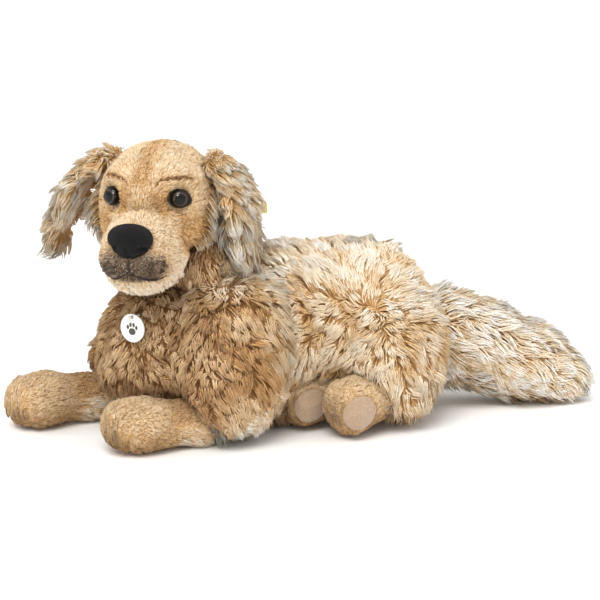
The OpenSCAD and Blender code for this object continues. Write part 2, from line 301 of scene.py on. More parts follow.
def puff(obj, cap):
    """Settles the cover under a light inner pressure, no point by more than cap.

    It moves the torso by about 1 mm, and the smaller covers by far less.
    """
    start = coordinates(obj)
    scene = bpy.context.scene
    mod = obj.modifiers.new("cloth", "CLOTH")
    cloth = mod.settings
    cloth.quality = 4
    cloth.mass = 0.2
    cloth.tension_stiffness = cloth.compression_stiffness = 12
    cloth.bending_stiffness = 1.5
    cloth.use_pressure = True
    cloth.uniform_pressure_force = 4
    cloth.effector_weights.gravity = 0
    mod.point_cache.frame_end = PUFF_FRAMES
    mod.collision_settings.use_collision = False
    for step in range(1, PUFF_FRAMES + 1):
        scene.frame_set(step)
    swollen = obj.evaluated_get(bpy.context.evaluated_depsgraph_get()).data
    after = np.empty(len(start) * 3)
    swollen.vertices.foreach_get("co", after)
    moved = after.reshape(-1, 3) - start
    obj.modifiers.remove(mod)
    scene.frame_set(1)
    far = np.linalg.norm(moved, axis=1, keepdims=True)
    moved *= np.minimum(1, cap / np.maximum(far, 1e-9))
    set_coordinates(obj, start + np.nan_to_num(moved))


def sewn_cover(name, parts, voxel, rounds, puffed=0.0, also=()):
    """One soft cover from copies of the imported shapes: joined, remeshed, eased and, if asked, settled."""
    deselect()
    copies = []
    for node in (*parts, *also):
        copy = bpy.data.objects.new(node + "_copy", NODES[node].data.copy())
        bpy.context.scene.collection.objects.link(copy)
        copy.select_set(True)
        copies.append(copy)
    bpy.context.view_layer.objects.active = copies[0]
    if len(copies) > 1:
        bpy.ops.object.join()
    obj = bpy.context.object
    obj.name = obj.data.name = name
    obj.data.materials.clear()
    edit_all(obj, bpy.ops.mesh.remove_doubles, threshold=MERGE)
    apply(obj, "REMESH", mode="VOXEL", voxel_size=voxel)
    apply(obj, "SMOOTH", factor=0.5, iterations=rounds)
    if puffed:
        puff(obj, puffed)
    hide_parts(*parts)
    return obj


def finish_cover(obj, body, mat):
    """Rests the cover on the floor, rounds it once more and hangs it on its body."""
    apply(obj, "SUBSURF", levels=1, render_levels=1)
    co = coordinates(obj)
    co[:, 2] = np.maximum(co[:, 2], COVER_FLOOR)
    set_coordinates(obj, co)
    smooth_shaded(obj)
    give(obj, mat)
    if body:
        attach(obj, body)
    return obj


# ---------- pile ----------
COVERS = {}
MOUTH = []


def remember(key, obj):
    """Keeps a cover's surface for its own pile and as an obstacle for its neighbours' pile."""
    COVERS[key] = (coordinates(obj), triangles(obj), normals(obj))


def tree_of(keys):
    points, faces, start = [], [], 0
    for key in keys:
        p, t = COVERS[key][0], COVERS[key][1]
        points.append(p)
        faces.append(t + start)
        start += len(p)
    return BVHTree.FromPolygons(np.concatenate(points).tolist(), np.concatenate(faces).tolist())


def roots(key, where, density, rng):
    """Roots spread evenly over a cover, fewer where its share is less: (places, normals)."""
    co, tri, nor = COVERS[key]
    a, b, c = co[tri[:, 0]], co[tri[:, 1]], co[tri[:, 2]]
    area = np.linalg.norm(np.cross(b - a, c - a), axis=1) / 2
    share = area * np.clip(where((a + b + c) / 3, unit(nor[tri].mean(1))), 0, 1)
    count = int(share.sum() * density * 1e6)
    if count < 1:
        return np.zeros((0, 3)), np.zeros((0, 3))
    total = np.cumsum(share)
    spots = (np.arange(count) + rng.random(count)) * total[-1] / count
    hit = np.minimum(np.searchsorted(total, spots), len(tri) - 1)
    u, v = rng.random(count), rng.random(count)
    over = u + v > 1
    u[over], v[over] = 1 - u[over], 1 - v[over]
    w = np.stack([1 - u - v, u, v], 1)[:, :, None]
    return (co[tri[hit]] * w).sum(1), unit((nor[tri[hit]] * w).sum(1))


def turned(vectors, axes, angles):
    """Each vector turned about its own axis."""
    c, s = np.cos(angles)[:, None], np.sin(angles)[:, None]
    return vectors * c + np.cross(axes, vectors) * s + axes * (axes * vectors).sum(1, keepdims=True) * (1 - c)


def centre_lines(root, normal, comb, length, rise, lie, wave, phase, bands):
    """The middle line of each lock: it leaves the cover at the angle rise and lies down to lie at its tip."""
    side = np.cross(normal, comb)
    line = [root]
    at = root.copy()
    for i in range(bands):
        t = (i + 0.5) / bands
        angle = (rise + (lie - rise) * t)[:, None]
        way = np.cos(angle) * comb + np.sin(angle) * normal
        way = way + side * (np.sin(phase + 5.2 * t) * wave)[:, None]
        at = at + unit(way) * (length / bands)[:, None]
        line.append(at)
    return np.stack(line, 1)


def locks_mesh(name, lines, normal, width, shades, soften):
    """Closed three-sided tapering locks along the lines, one shade for each band of each lock."""
    count, points = lines.shape[:2]
    rings = points - 1
    per = rings * 3 + 1
    along = np.empty_like(lines)
    along[:, 1:-1] = lines[:, 2:] - lines[:, :-2]
    along[:, 0], along[:, -1] = lines[:, 1] - lines[:, 0], lines[:, -1] - lines[:, -2]
    along = unit(along)
    side = unit(np.cross(along, normal[:, None, :]) + 1e-6)
    over = np.cross(along, side)
    taper = np.interp(np.arange(rings) / rings, [0, 0.35, 1], [0.8, 1, 0.35])
    co = np.empty((count, per, 3))
    nor = np.empty((count, per, 3))
    for i in range(rings):
        for k in range(3):
            turn = math.radians(90 + 120 * k)
            out = side[:, i] * math.cos(turn) + over[:, i] * math.sin(turn)
            co[:, 3 * i + k] = lines[:, i] + out * (width * taper[i])[:, None]
            nor[:, 3 * i + k] = unit(out * (1 - soften) + normal * soften)
    co[:, -1] = lines[:, -1]
    nor[:, -1] = unit(along[:, -1] * (1 - soften) + normal * soften)
    co[:, :, 2] = np.maximum(co[:, :, 2], PILE_FLOOR)
    base = (np.arange(count) * per)[:, None]
    quads, quad_band, tris, tri_band = [], [], [], []
    for i in range(rings - 1):
        for k in range(3):
            n = (k + 1) % 3
            quads.append(base + np.array([3 * i + k, 3 * i + n, 3 * i + 3 + n, 3 * i + 3 + k]))
            quad_band.append(i)
    for k in range(3):
        tris.append(base + np.array([3 * rings - 3 + k, 3 * rings - 3 + (k + 1) % 3, per - 1]))
        tri_band.append(rings - 1)
    tris.append(base + np.array([2, 1, 0]))
    tri_band.append(0)
    quads = np.stack(quads, 1).reshape(-1, 4)
    tris = np.stack(tris, 1).reshape(-1, 3)
    used, slots = np.unique(shades, return_inverse=True)
    slots = slots.reshape(shades.shape)
    mats = np.concatenate([slots[:, quad_band].ravel(), slots[:, tri_band].ravel()])
    loops = np.concatenate([quads.ravel(), tris.ravel()])
    starts = np.concatenate([np.arange(len(quads)) * 4, quads.size + np.arange(len(tris)) * 3])
    mesh = bpy.data.meshes.new(name)
    mesh.vertices.add(count * per)
    mesh.vertices.foreach_set("co", co.astype(np.float32).ravel())
    mesh.loops.add(len(loops))
    mesh.loops.foreach_set("vertex_index", loops.astype(np.int32))
    mesh.polygons.add(len(starts))
    mesh.polygons.foreach_set("loop_start", starts.astype(np.int32))
    for index in used:
        mesh.materials.append(fibre(SHADE_NAMES[index]))
    mesh.polygons.foreach_set("material_index", mats.astype(np.int32))
    mesh.polygons.foreach_set("use_smooth", np.ones(len(starts), bool))
    mesh.update(calc_edges=True)
    mesh.normals_split_custom_set_from_vertices(nor.reshape(-1, 3))
    obj = bpy.data.objects.new(name, mesh)
    bpy.context.scene.collection.objects.link(obj)
    return obj


def nearest_of(points, root):
    """(number of the nearest of these points, distance to it) for each root."""
    finder = KDTree(len(points))
    for i, point in enumerate(points):
        finder.insert(point, i)
    finder.balance()
    found = [finder.find(p) for p in root]
    return np.array([f[1] for f in found]), np.array([f[2] for f in found])


def nearest_shade(colours, rng, spread):
    """The dyed shade nearest to each wanted colour, with some scatter between neighbours."""
    scatter = rng.normal(0, spread, colours.shape[:-1] + (1,))
    wanted = colours + scatter + rng.normal(0, spread / 4, colours.shape)
    d = ((wanted[..., None, :] - SHADE_TABLE) ** 2).sum(-1)
    return d.argmin(-1)


def coat(name, key, body, where, density, length, width, comb, tint, blocks, seed,
         rise=56, lie=10, clump=8.0, gather=0.4, wave=0.25, swirl=15, bands=3, soften=0.72, slot="long_plush",
         most=12000, spread=7, across=None, drift=15, swell=21.0, parting_roots_and_shade=0.75):
    """Combed pile on one cover: where gives its share at each place, comb its lie and tint its colours.

    Sizes are in millimetres, angles in degrees, and density in locks for each square millimetre.
    """
    rng = np.random.default_rng(seed)
    root, normal = roots(key, where, density, rng)
    if not len(root):
        raise RuntimeError(name + " has no roots")
    way = comb(root, normal)
    way = unit(way - normal * (way * normal).sum(1, keepdims=True))
    size = length(root) if callable(length) else np.full(len(root), length)
    size = size * MM

    # Tufts: each lock leans towards the middle lock of its tuft.
    area = len(root) / (density * 1e6)
    tufts = max(1, int(area * 1e6 / clump**2))
    middle = rng.choice(len(root), min(tufts, len(root)), replace=False)
    tuft = nearest_of(root[middle], root)[0]
    tuft_turn = rng.normal(0, math.radians(swirl), len(middle))
    tuft_size = rng.normal(1, 0.14, len(middle))
    tuft_rise = rng.normal(0, 6, len(middle))
    way = turned(way, normal, tuft_turn[tuft] + rng.normal(0, math.radians(9), len(root)))
    size = size * np.clip(tuft_size[tuft] * rng.normal(1, 0.12, len(root)), 0.45, 1.45)
    angle = np.radians(rise + tuft_rise[tuft] + rng.normal(0, 6, len(root)))
    flat = np.radians(lie + rng.normal(0, 6, len(root)))

    # Broad waves of tufts turn together, pale in their middles and deeper where they part: partly the darker
    # roots that show there and partly painted shade in the gaps.
    crests = rng.choice(len(root), max(1, int(area * 1e6 / swell**2)), replace=False)
    crest, distance = nearest_of(root[crests], root)
    parting = smooth_step(distance / (swell * MM), 0.3, 0.72)
    way = turned(way, normal, rng.normal(0, math.radians(drift), len(crests))[crest])
    size = size * (1.06 - 0.16 * parting)

    # A lock stops before it reaches another piece.
    tree = tree_of(blocks)
    half = (angle + flat) / 2
    probe = unit(way * np.cos(half)[:, None] + normal * np.sin(half)[:, None])
    start = root + normal * 0.0012
    keep = np.ones(len(root), bool)
    for i in range(len(root)):
        found = tree.ray_cast(start[i], probe[i], size[i] * 1.05)
        if found[3] is not None:
            size[i] = found[3] * 0.9
            keep[i] = found[3] > 0.002
    phase = rng.random(len(middle))[tuft] * 6.28 + rng.normal(0, 0.5, len(root))
    lines = centre_lines(root, normal, way, size, angle, flat, wave, phase, bands)
    pull = (np.linspace(0, 1, bands + 1) ** 1.4)[None, :, None]
    shift = ((lines[middle][tuft] - lines) * gather + (lines[crests][crest] - lines) * gather * 0.3) * pull
    limit = (size * 0.55)[:, None, None]
    shift *= np.minimum(1, limit / np.maximum(np.linalg.norm(shift, axis=2, keepdims=True), 1e-9))
    lines = lines + shift
    colours = tint(root, normal)
    shade_shift = rng.normal(0, spread * 0.8, len(middle))[tuft]
    # Where tufts part, each band takes the colour of the band below it: partly roots showing and partly
    # painted shade between the tufts.
    roots_and_shade = np.stack([colours[:, 0], colours[:, 0] * 0.5 + colours[:, 1] * 0.5, colours[:, 1]], 1)
    share = (parting * parting_roots_and_shade)[:, None, None]
    colours = colours * (1 - share) + roots_and_shade * share + shade_shift[:, None, None]
    if bands == 2:
        colours = np.stack([(colours[:, 0] + colours[:, 1]) / 2, (colours[:, 1] + colours[:, 2] * 2) / 3], 1)
    shades = nearest_shade(colours[:, :bands], rng, spread)
    order = np.flatnonzero(keep)
    rng.shuffle(order)
    pieces = max(1, math.ceil(len(order) / most))
    # Pieces are cut along the longest side, so that each keeps to one part of the cover.
    longest = np.ptp(root[order], axis=0).argmax()
    order = order[np.argsort(root[order, longest], kind="stable")]
    for number, part in enumerate(np.array_split(order, pieces)):
        label = name if pieces == 1 else f"{name}_{number + 1}"
        obj = locks_mesh(label, lines[part], normal[part], width * MM * rng.uniform(0.75, 1.25, len(part)),
                         shades[part], soften)
        if across:
            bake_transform(obj)
        else:
            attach(obj, body)


def bands_of(*stops):
    """A tint with the same root, middle and tip colours everywhere."""
    table = np.array(stops, float)
    return lambda p, n: np.repeat(table[None], len(p), 0)


def mixed_bands(share, first, second):
    """Blends two sets of root, middle and tip colours by share."""
    a, b = np.array(first, float), np.array(second, float)
    s = np.clip(share, 0, 1)[:, None, None]
    return a * (1 - s) + b * s


# Root, middle and tip colours of each part's pile.
GOLDEN = [(184, 134, 80), (218, 180, 130), (244, 232, 214)]
DEEP_GOLD = [(190, 142, 88), (226, 190, 142), (247, 236, 216)]
PALE_GOLD = [(202, 158, 106), (236, 212, 178), (250, 244, 234)]
EAR_PALE = [(208, 164, 112), (238, 216, 182), (248, 238, 219)]
TAIL_GOLD = [(206, 164, 112), (240, 222, 196), (251, 247, 240)]
SHOULDER = [(128, 86, 50), (176, 130, 84), (230, 206, 172)]
CHEST = [(118, 84, 56), (168, 134, 102), (214, 188, 156)]
SHORT_BEIGE = [(190, 155, 114), (216, 186, 148), (224, 198, 164)]
LOWER_LIP = [(214, 184, 144), (240, 222, 192), (246, 233, 210)]
# The paw's pile, and the same pile darkened by painted shade under the paws and behind them.
PAW = [(190, 156, 116), (214, 184, 146), (224, 199, 165)]
PAW_SHADE = [(144, 106, 70), (176, 138, 98), (196, 160, 120)]
CLIPPED = {"bands": 2, "gather": 0.3, "soften": 0.75, "slot": "short_plush", "most": 18000}


# ---------- settings ----------
class PlushPileSettings(bpy.types.PropertyGroup):
    """Sizes of the pile."""

    body_length: bpy.props.FloatProperty(
        name="Body Pile", description="Length of the long pile on the body, in millimetres",
        default=20, min=8, max=34
    )
    ear_length: bpy.props.FloatProperty(
        name="Ear Pile", description="Length of the pile on the ears, in millimetres",
        default=25, min=10, max=36
    )
    tail_length: bpy.props.FloatProperty(
        name="Tail Pile", description="Length of the pile on the tail, in millimetres",
        default=23, min=10, max=36
    )
    face_length: bpy.props.FloatProperty(
        name="Face Pile", description="Length of the clipped pile on the face, in millimetres",
        default=4.5, min=2, max=9
    )
    paw_length: bpy.props.FloatProperty(
        name="Paw Pile", description="Length of the pile on the paws, in millimetres",
        default=4.6, min=3, max=12
    )
    lock_width: bpy.props.FloatProperty(
        name="Lock Width", description="Half width of one long lock, in millimetres",
        default=0.68, min=0.4, max=2
    )
    fullness: bpy.props.FloatProperty(
        name="Fullness", description="How many locks are grown, as a share of the full coat",
        default=1, min=0.1, max=1
    )


class PlushTrimSettings(bpy.types.PropertyGroup):
    """Colour of the eyes' iris and of the label, and the width of the nose."""

    iris: bpy.props.FloatVectorProperty(
        name="Iris", description="Colour of the ring around the pupil", subtype="COLOR", size=3,
        default=tuple(linear((80, 64, 54))), min=0, max=1
    )
    label: bpy.props.FloatVectorProperty(
        name="Label", description="Colour of the woven label", subtype="COLOR", size=3,
        default=tuple(linear((222, 196, 104))), min=0, max=1
    )
    nose_width: bpy.props.FloatProperty(
        name="Nose Width", description="Width of the flocked nose",
        default=0.044, min=0.03, max=0.05, unit="LENGTH"
    )


# ---------- operators ----------
SENSOR = 36  # width of the camera's sensor, in millimetres
VIEW_WIDTH = 0.618  # width that the camera sees at the dog's middle


def facing(direction):
    """The turn that points a lamp or the camera along direction."""
    return direction.to_track_quat("-Z", "Y").to_euler()


class PLUSH_OT_stage(bpy.types.Operator):
    """Sets the floor, the lights and the camera"""

    bl_idname = "plush.stage"
    bl_label = "Floor, Lights and Camera"

    def execute(self, context):
        scene = context.scene
        scene.view_settings.view_transform = "Standard"
        scene.view_settings.look = "None"
        deselect()
        bpy.ops.mesh.primitive_plane_add(size=60, location=(0, 0, 0))
        floor = context.object
        floor.name = "floor"
        give(floor, fabric("floor_paper", (252, 252, 252), (247, 247, 247), 3, bump=0.0, sheen=0.0))
        scene.world = scene.world or bpy.data.worlds.new("studio")
        world = scene.world
        world.use_nodes = True
        tree = world.node_tree
        glow = tree.nodes["Background"]
        # The backdrop is plain white, and the room behind it is a little warmer and brighter.
        seen = add_node(tree, "LightPath").outputs["Is Camera Ray"]
        level = add_node(tree, "MapRange", data_type="FLOAT_VECTOR")
        set_inputs(tree, level, {6: seen, 9: (1.02, 1.015, 1.0), 10: (1, 1, 1)})
        set_inputs(tree, glow, {"Color": level.outputs["Vector"]})
        target = Vector((-0.0002, 0.0122, 0.121))
        lamp = bpy.data.lights.new("soft_sun", "SUN")
        lamp.energy = 1.8
        lamp.angle = math.radians(34)
        lamp.color = (1, 0.99, 0.975)
        sun = bpy.data.objects.new("soft_sun", lamp)
        scene.collection.objects.link(sun)
        sun.location = (-1.0, -1.3, 2.4)
        sun.rotation_euler = facing(target - sun.location)
        spark = bpy.data.lights.new("eye_light", "AREA")
        spark.shape, spark.size, spark.energy = "DISK", 0.6, 26
        small = bpy.data.objects.new("eye_light", spark)
        scene.collection.objects.link(small)
        small.location = (-1.3, -1.5, 1.4)
        small.visible_diffuse = False
        small.rotation_euler = facing(target - small.location)
        camera = bpy.data.objects.new("camera", bpy.data.cameras.new("camera"))
        scene.collection.objects.link(camera)
        turn, tilt, distance = math.radians(-25), math.radians(12), 2.2
        look = Vector((-math.sin(turn) * math.cos(tilt), math.cos(turn) * math.cos(tilt), -math.sin(tilt)))
        camera.location = target - look * distance
        camera.rotation_euler = facing(look)
        camera.data.lens = SENSOR * distance / VIEW_WIDTH
        camera.data.clip_end = 100
        scene.camera = camera
        return {"FINISHED"}


class PLUSH_OT_body_covers(bpy.types.Operator):
    """Sews the torso, neck and tail covers"""

    bl_idname = "plush.body_covers"
    bl_label = "Torso, Neck and Tail Covers"

    def execute(self, context):
        backing = long_pile_backing()
        torso = sewn_cover(
            "torso_cover",
            ("flank_panel_left", "flank_panel_right", "belly_panel",
             "sleeve_left_cover", "sleeve_right_cover", "thigh_left_cover"),
            0.0078, 5, puffed=0.004)
        set_coordinates(torso, rounded_rump(coordinates(torso)))
        finish_cover(torso, "torso", backing)
        remember("torso", torso)
        neck = sewn_cover("neck_skin", ("neck_cover",), 0.005, 8, also=("neck_stuffing",))
        finish_cover(neck, "neck", backing)
        remember("neck", neck)
        tail = sewn_cover("tail_skin", ("tail_root_cover", "tail_cover"), 0.006, 9,
                          also=("tail_root_stuffing", "tail_stuffing"), puffed=0.004)
        finish_cover(tail, None, backing)
        remember("tail", tail)
        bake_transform(tail)
        return {"FINISHED"}


RUMP_FROM = 0.085  # the rump is shortened behind this place


def rounded_rump(co):
    """Rounds the rump off a little ahead of the tail's root."""
    co = co.copy()
    co[:, 0] = np.minimum(co[:, 0], RUMP_FROM + (co[:, 0] - RUMP_FROM) * 0.76)
    return co


def tail_bend():
    """Where the tail starts and stops bending."""
    at = np.array(JOINTS["tail_lift"]["pos_m"])
    side = np.array(JOINTS["tail_lift"]["axis"])
    along = unit(np.cross(side, UP))
    if along[0] < 0:
        along = -along
    return tuple(at - along * 0.02), tuple(at + along * 0.03)


def brow_crease(local):
    """1 along the sewn crease over each eye."""
    wide = np.abs(local[:, 1])
    rise = local[:, 2] - (28 + 5 * (1 - ((wide - 29) / 16) ** 2))
    ends = smooth_step(wide, 11, 16) * smooth_step(46 - wide, 0, 6) * (local[:, 0] < -15)
    return np.exp(-((rise / 1.7) ** 2)) * ends


def muzzle_seam(local):
    """1 along the seam where the muzzle panel meets the cheeks and the bridge."""
    wide, z = np.abs(local[:, 1]), local[:, 2]
    line = -58 + 10 * smooth_step(wide, 14, 34) - 0.12 * (z + 20)
    return np.exp(-(((local[:, 0] - line) / 2.3) ** 2)) * smooth_step(wide, 8, 16) * smooth_step(14 - z, 0, 8)


class PLUSH_OT_head_cover(bpy.types.Operator):
    """Sews and shapes the head with its muzzle, brows, cheeks and lower lip"""

    bl_idname = "plush.head_cover"
    bl_label = "Head Cover"

    def execute(self, context):
        head = sewn_cover(
            "head_cover",
            ("forehead_gusset", "cheek_panel_left", "cheek_panel_right", "muzzle_cover", "chin_cover"),
            0.0038, 5, also=("head_stuffing", "muzzle_stuffing"))
        co = coordinates(head)
        local = to_head(co)
        out = normals(head)
        push = np.zeros(len(co))
        for side in (-1, 1):
            push += 4.0 * bump_at(local, (-44, side * 32, 34), 19)
            push += 3.0 * bump_at(local, (-30, side * 50, -18), 24)
            push += 9.0 * bump_at(local, (-28, side * 40, -34), 30)
            push += 7.0 * bump_at(local, (-50, side * 36, -46), 22)
            push += 3.5 * bump_at(local, (-90, side * 18, -46), 20)
            push -= 2.6 * bump_at(local, (-52, side * 20, 8), 12)
        push += 6.0 * bump_at(local, (-62, 0, 4), 24)
        push += 3.0 * bump_at(local, (-52, 0, 24), 24)
        cleft = np.exp(-((local[:, 1] / 3.0) ** 2))
        push -= 3.0 * cleft * smooth_step(-local[:, 2], 33, 40) * (local[:, 0] < -90)
        push -= 2.8 * brow_crease(local) + 4.6 * muzzle_seam(local)
        # The lips part between the muzzle and the lower lip.
        gap = np.exp(-(((local[:, 2] + 57 + 0.02 * (local[:, 0] + 90)) / 3.0) ** 2))
        push -= 2.5 * gap * smooth_step(-local[:, 0], 62, 74)
        set_coordinates(head, co + out * push[:, None] * MM)
        apply(head, "SMOOTH", factor=0.5, iterations=2)
        finish_cover(head, "head", short_pile_backing())
        # The cloth under the sooty pile around the mouth is dyed dark too.
        head.data.materials.append(fabric("sooty_backing", (142, 118, 92), (100, 82, 66), 260))
        place = to_head(np.array([p.center for p in head.data.polygons]))
        sooty = (place[:, 0] < -80) & (np.abs(place[:, 1]) < 31) & (place[:, 2] < -34) & (place[:, 2] > -61)
        head.data.polygons.foreach_set("material_index", sooty.astype(np.int32))
        remember("head", head)
        return {"FINISHED"}


class PLUSH_OT_ears(bpy.types.Operator):
    """Sews both ears with their suede linings"""

    bl_idname = "plush.ears"
    bl_label = "Ears"

    def execute(self, context):
        backing = long_pile_backing()
        suede = fabric("ear_suede", (202, 172, 138), (184, 150, 116), 420, bump=0.12, sheen=0.6)
        for side in ("left", "right"):
            ear = sewn_cover(f"ear_{side}_skin", (f"ear_{side}_cover",), 0.0035, 5)
            finish_cover(ear, f"ear_{side}", backing)
            remember(f"ear_{side}", ear)
            lining = sewn_cover(f"ear_{side}_suede", (f"ear_{side}_lining",), 0.0011, 3)
            finish_cover(lining, f"ear_{side}", suede)
        return {"FINISHED"}


PAW_TURN = {"forearm_left": -0.62, "forearm_right": -0.42, "foot_left": 0.0, "foot_right": 0.0}


def toe_place(limb):
    """Middle of the toe stitches, and the paw's own middle behind them."""
    low, high = (np.array(c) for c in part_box(limb + "_toe_thread"))
    toes = (low + high) / 2
    return toes, toes + np.array([0.024, 0, 0])


def turned_toes(limb, co):
    """Turns places about the paw's middle, so that the toes point outwards."""
    middle = toe_place(limb)[1]
    turn = PAW_TURN[limb]
    d = co - middle
    c, s = math.cos(turn), math.sin(turn)
    return middle + np.stack([d[:, 0] * c + d[:, 1] * s, -d[:, 0] * s + d[:, 1] * c, d[:, 2]], 1)


def slim_wrist(limb, co):
    """Narrows a forearm behind its paw."""
    if not limb.startswith("forearm"):
        return co
    toes, middle = toe_place(limb)
    co = co.copy()
    behind = smooth_step(co[:, 0], toes[0] + 0.034, toes[0] + 0.068)
    co[:, 1] = middle[1] + (co[:, 1] - middle[1]) * (1.03 - 0.2 * behind)
    co[:, 2] = co[:, 2] * (1.0 - 0.1 * behind)
    return co


class PLUSH_OT_limbs(bpy.types.Operator):
    """Sews the forearms and hind feet, with toes, stitches and soles"""

    bl_idname = "plush.limbs"
    bl_label = "Forearms and Hind Feet"

    def execute(self, context):
        backing = short_pile_backing()
        suede = fabric("sole_suede", (180, 154, 126), (160, 134, 108), 520, bump=0.15, sheen=0.7)
        thread = fabric("brown_thread", (74, 50, 34), (44, 28, 20), 900, bump=0.5, sheen=0.1)
        for limb in LIMBS:
            skin = sewn_cover(limb + "_skin", (limb + "_cover",), 0.004, 7,
                              also=(limb + "_stuffing",), puffed=0.003)
            toes, middle = toe_place(limb)
            co, out = slim_wrist(limb, coordinates(skin)), normals(skin)
            d = co - middle
            around = np.arctan2(d[:, 1], -d[:, 0]) - PAW_TURN[limb]
            front = smooth_step(math.pi / 2.3 - np.abs(around), 0, 0.5)
            front = front * smooth_step(0.044 - co[:, 2], 0, 0.016)
            groove = sum(np.exp(-(((around - u) / 0.15) ** 2)) for u in (-0.55, 0, 0.55))
            set_coordinates(skin, co - out * (groove * front * 5 * MM)[:, None])
            finish_cover(skin, limb, backing)
            remember(limb, skin)
            stitches = sewn_cover(limb + "_stitches", (limb + "_toe_thread",), 0.0008, 2)
            co = turned_toes(limb, coordinates(stitches))
            co[:, 2] = toes[2] - 0.004 + (co[:, 2] - toes[2]) * 0.6
            co[:, 0:2] += unit(middle - toes)[None, 0:2] * -0.0012
            set_coordinates(stitches, co)
            finish_cover(stitches, limb, thread)
            if limb.startswith("foot"):
                sole = sewn_cover(limb + "_suede_sole", (limb + "_sole",), 0.0010, 4)
                finish_cover(sole, limb, suede)
                remember(limb + "_sole", sole)
        return {"FINISHED"}


class PLUSH_OT_eyes(bpy.types.Operator):
    """Makes the glossy safety eyes and the felts behind them"""

    bl_idname = "plush.eyes"
    bl_label = "Eyes and Felts"

    def execute(self, context):
        trim = context.scene.plush_trim
        gloss = eye_plastic(trim.iris)
        felt_mat = fabric("black_felt", (34, 30, 27), (16, 14, 13), 700, bump=0.4, sheen=0.4)
        for side, name in ((-1, "left"), (1, "right")):
            out = head_vector(-math.cos(EYE_TURN), side * math.sin(EYE_TURN), 0)
            seat = box_centre(f"eye_felt_{name}")
            spin = Vector(out).to_track_quat("Z", "Y").to_euler()
            deselect()
            bpy.ops.mesh.primitive_uv_sphere_add(segments=48, ring_count=32, radius=0.0093,
                                                 location=seat + out * 0.0012, rotation=spin)
            eye = context.object
            eye.name = eye.data.name = f"eye_{name}_dome"
            eye.scale = (1, 1, 0.78)
            flatten(eye)
            smooth_shaded(eye)
            give(eye, gloss)
            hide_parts(f"eye_{name}")
            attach(eye, "head")
            deselect()
            bpy.ops.mesh.primitive_cylinder_add(vertices=48, radius=0.0097, depth=0.0016,
                                                location=seat + out * 0.0008, rotation=spin)
            felt = context.object
            felt.name = felt.data.name = f"eye_{name}_felt"
            flatten(felt)
            co = coordinates(felt)
            away = co - seat
            corner = head_vector(0, side, -0.25)
            reach = np.clip(unit(away) @ unit(corner), 0, 1) ** 6
            inner = np.clip(unit(away) @ unit(head_vector(0, -side, -0.5)), 0, 1) ** 8
            flat_away = unit(away - np.outer(away @ out, out))
            co = co + flat_away * (reach * 0.0032 + inner * 0.0018)[:, None]
            set_coordinates(felt, co)
            apply(felt, "BEVEL", width=0.0005, segments=2)
            give(felt, felt_mat)
            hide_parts(f"eye_felt_{name}")
            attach(felt, "head")
        return {"FINISHED"}


def eye_plastic(iris):
    """Gloss with a black pupil, a brown iris and a dark rim, drawn along the eye's own UV map."""
    mat, tree, shader = new_material("eye_gloss")
    if not tree:
        return mat
    split = add_node(tree, "SeparateXYZ", {"Vector": add_node(tree, "UVMap").outputs["UV"]})
    ramp = add_node(tree, "ValToRGB", {"Fac": split.outputs["Y"]})
    pupil, rim = (0.006, 0.005, 0.005), (0.002, 0.002, 0.002)
    stops = ramp.color_ramp.elements
    stops[0].position, stops[0].color = 0.0, (*pupil, 1)
    stops[1].position, stops[1].color = 1.0, (*rim, 1)
    for place, shade in ((0.69, pupil), (0.73, [c * 0.3 for c in iris]), (0.785, iris), (0.81, rim)):
        stops.new(place).color = (*shade, 1)
    set_inputs(tree, shader, {
        "Base Color": ramp.outputs["Color"], "Roughness": 0.08, "Specular IOR Level": 0.28,
    })
    return mat


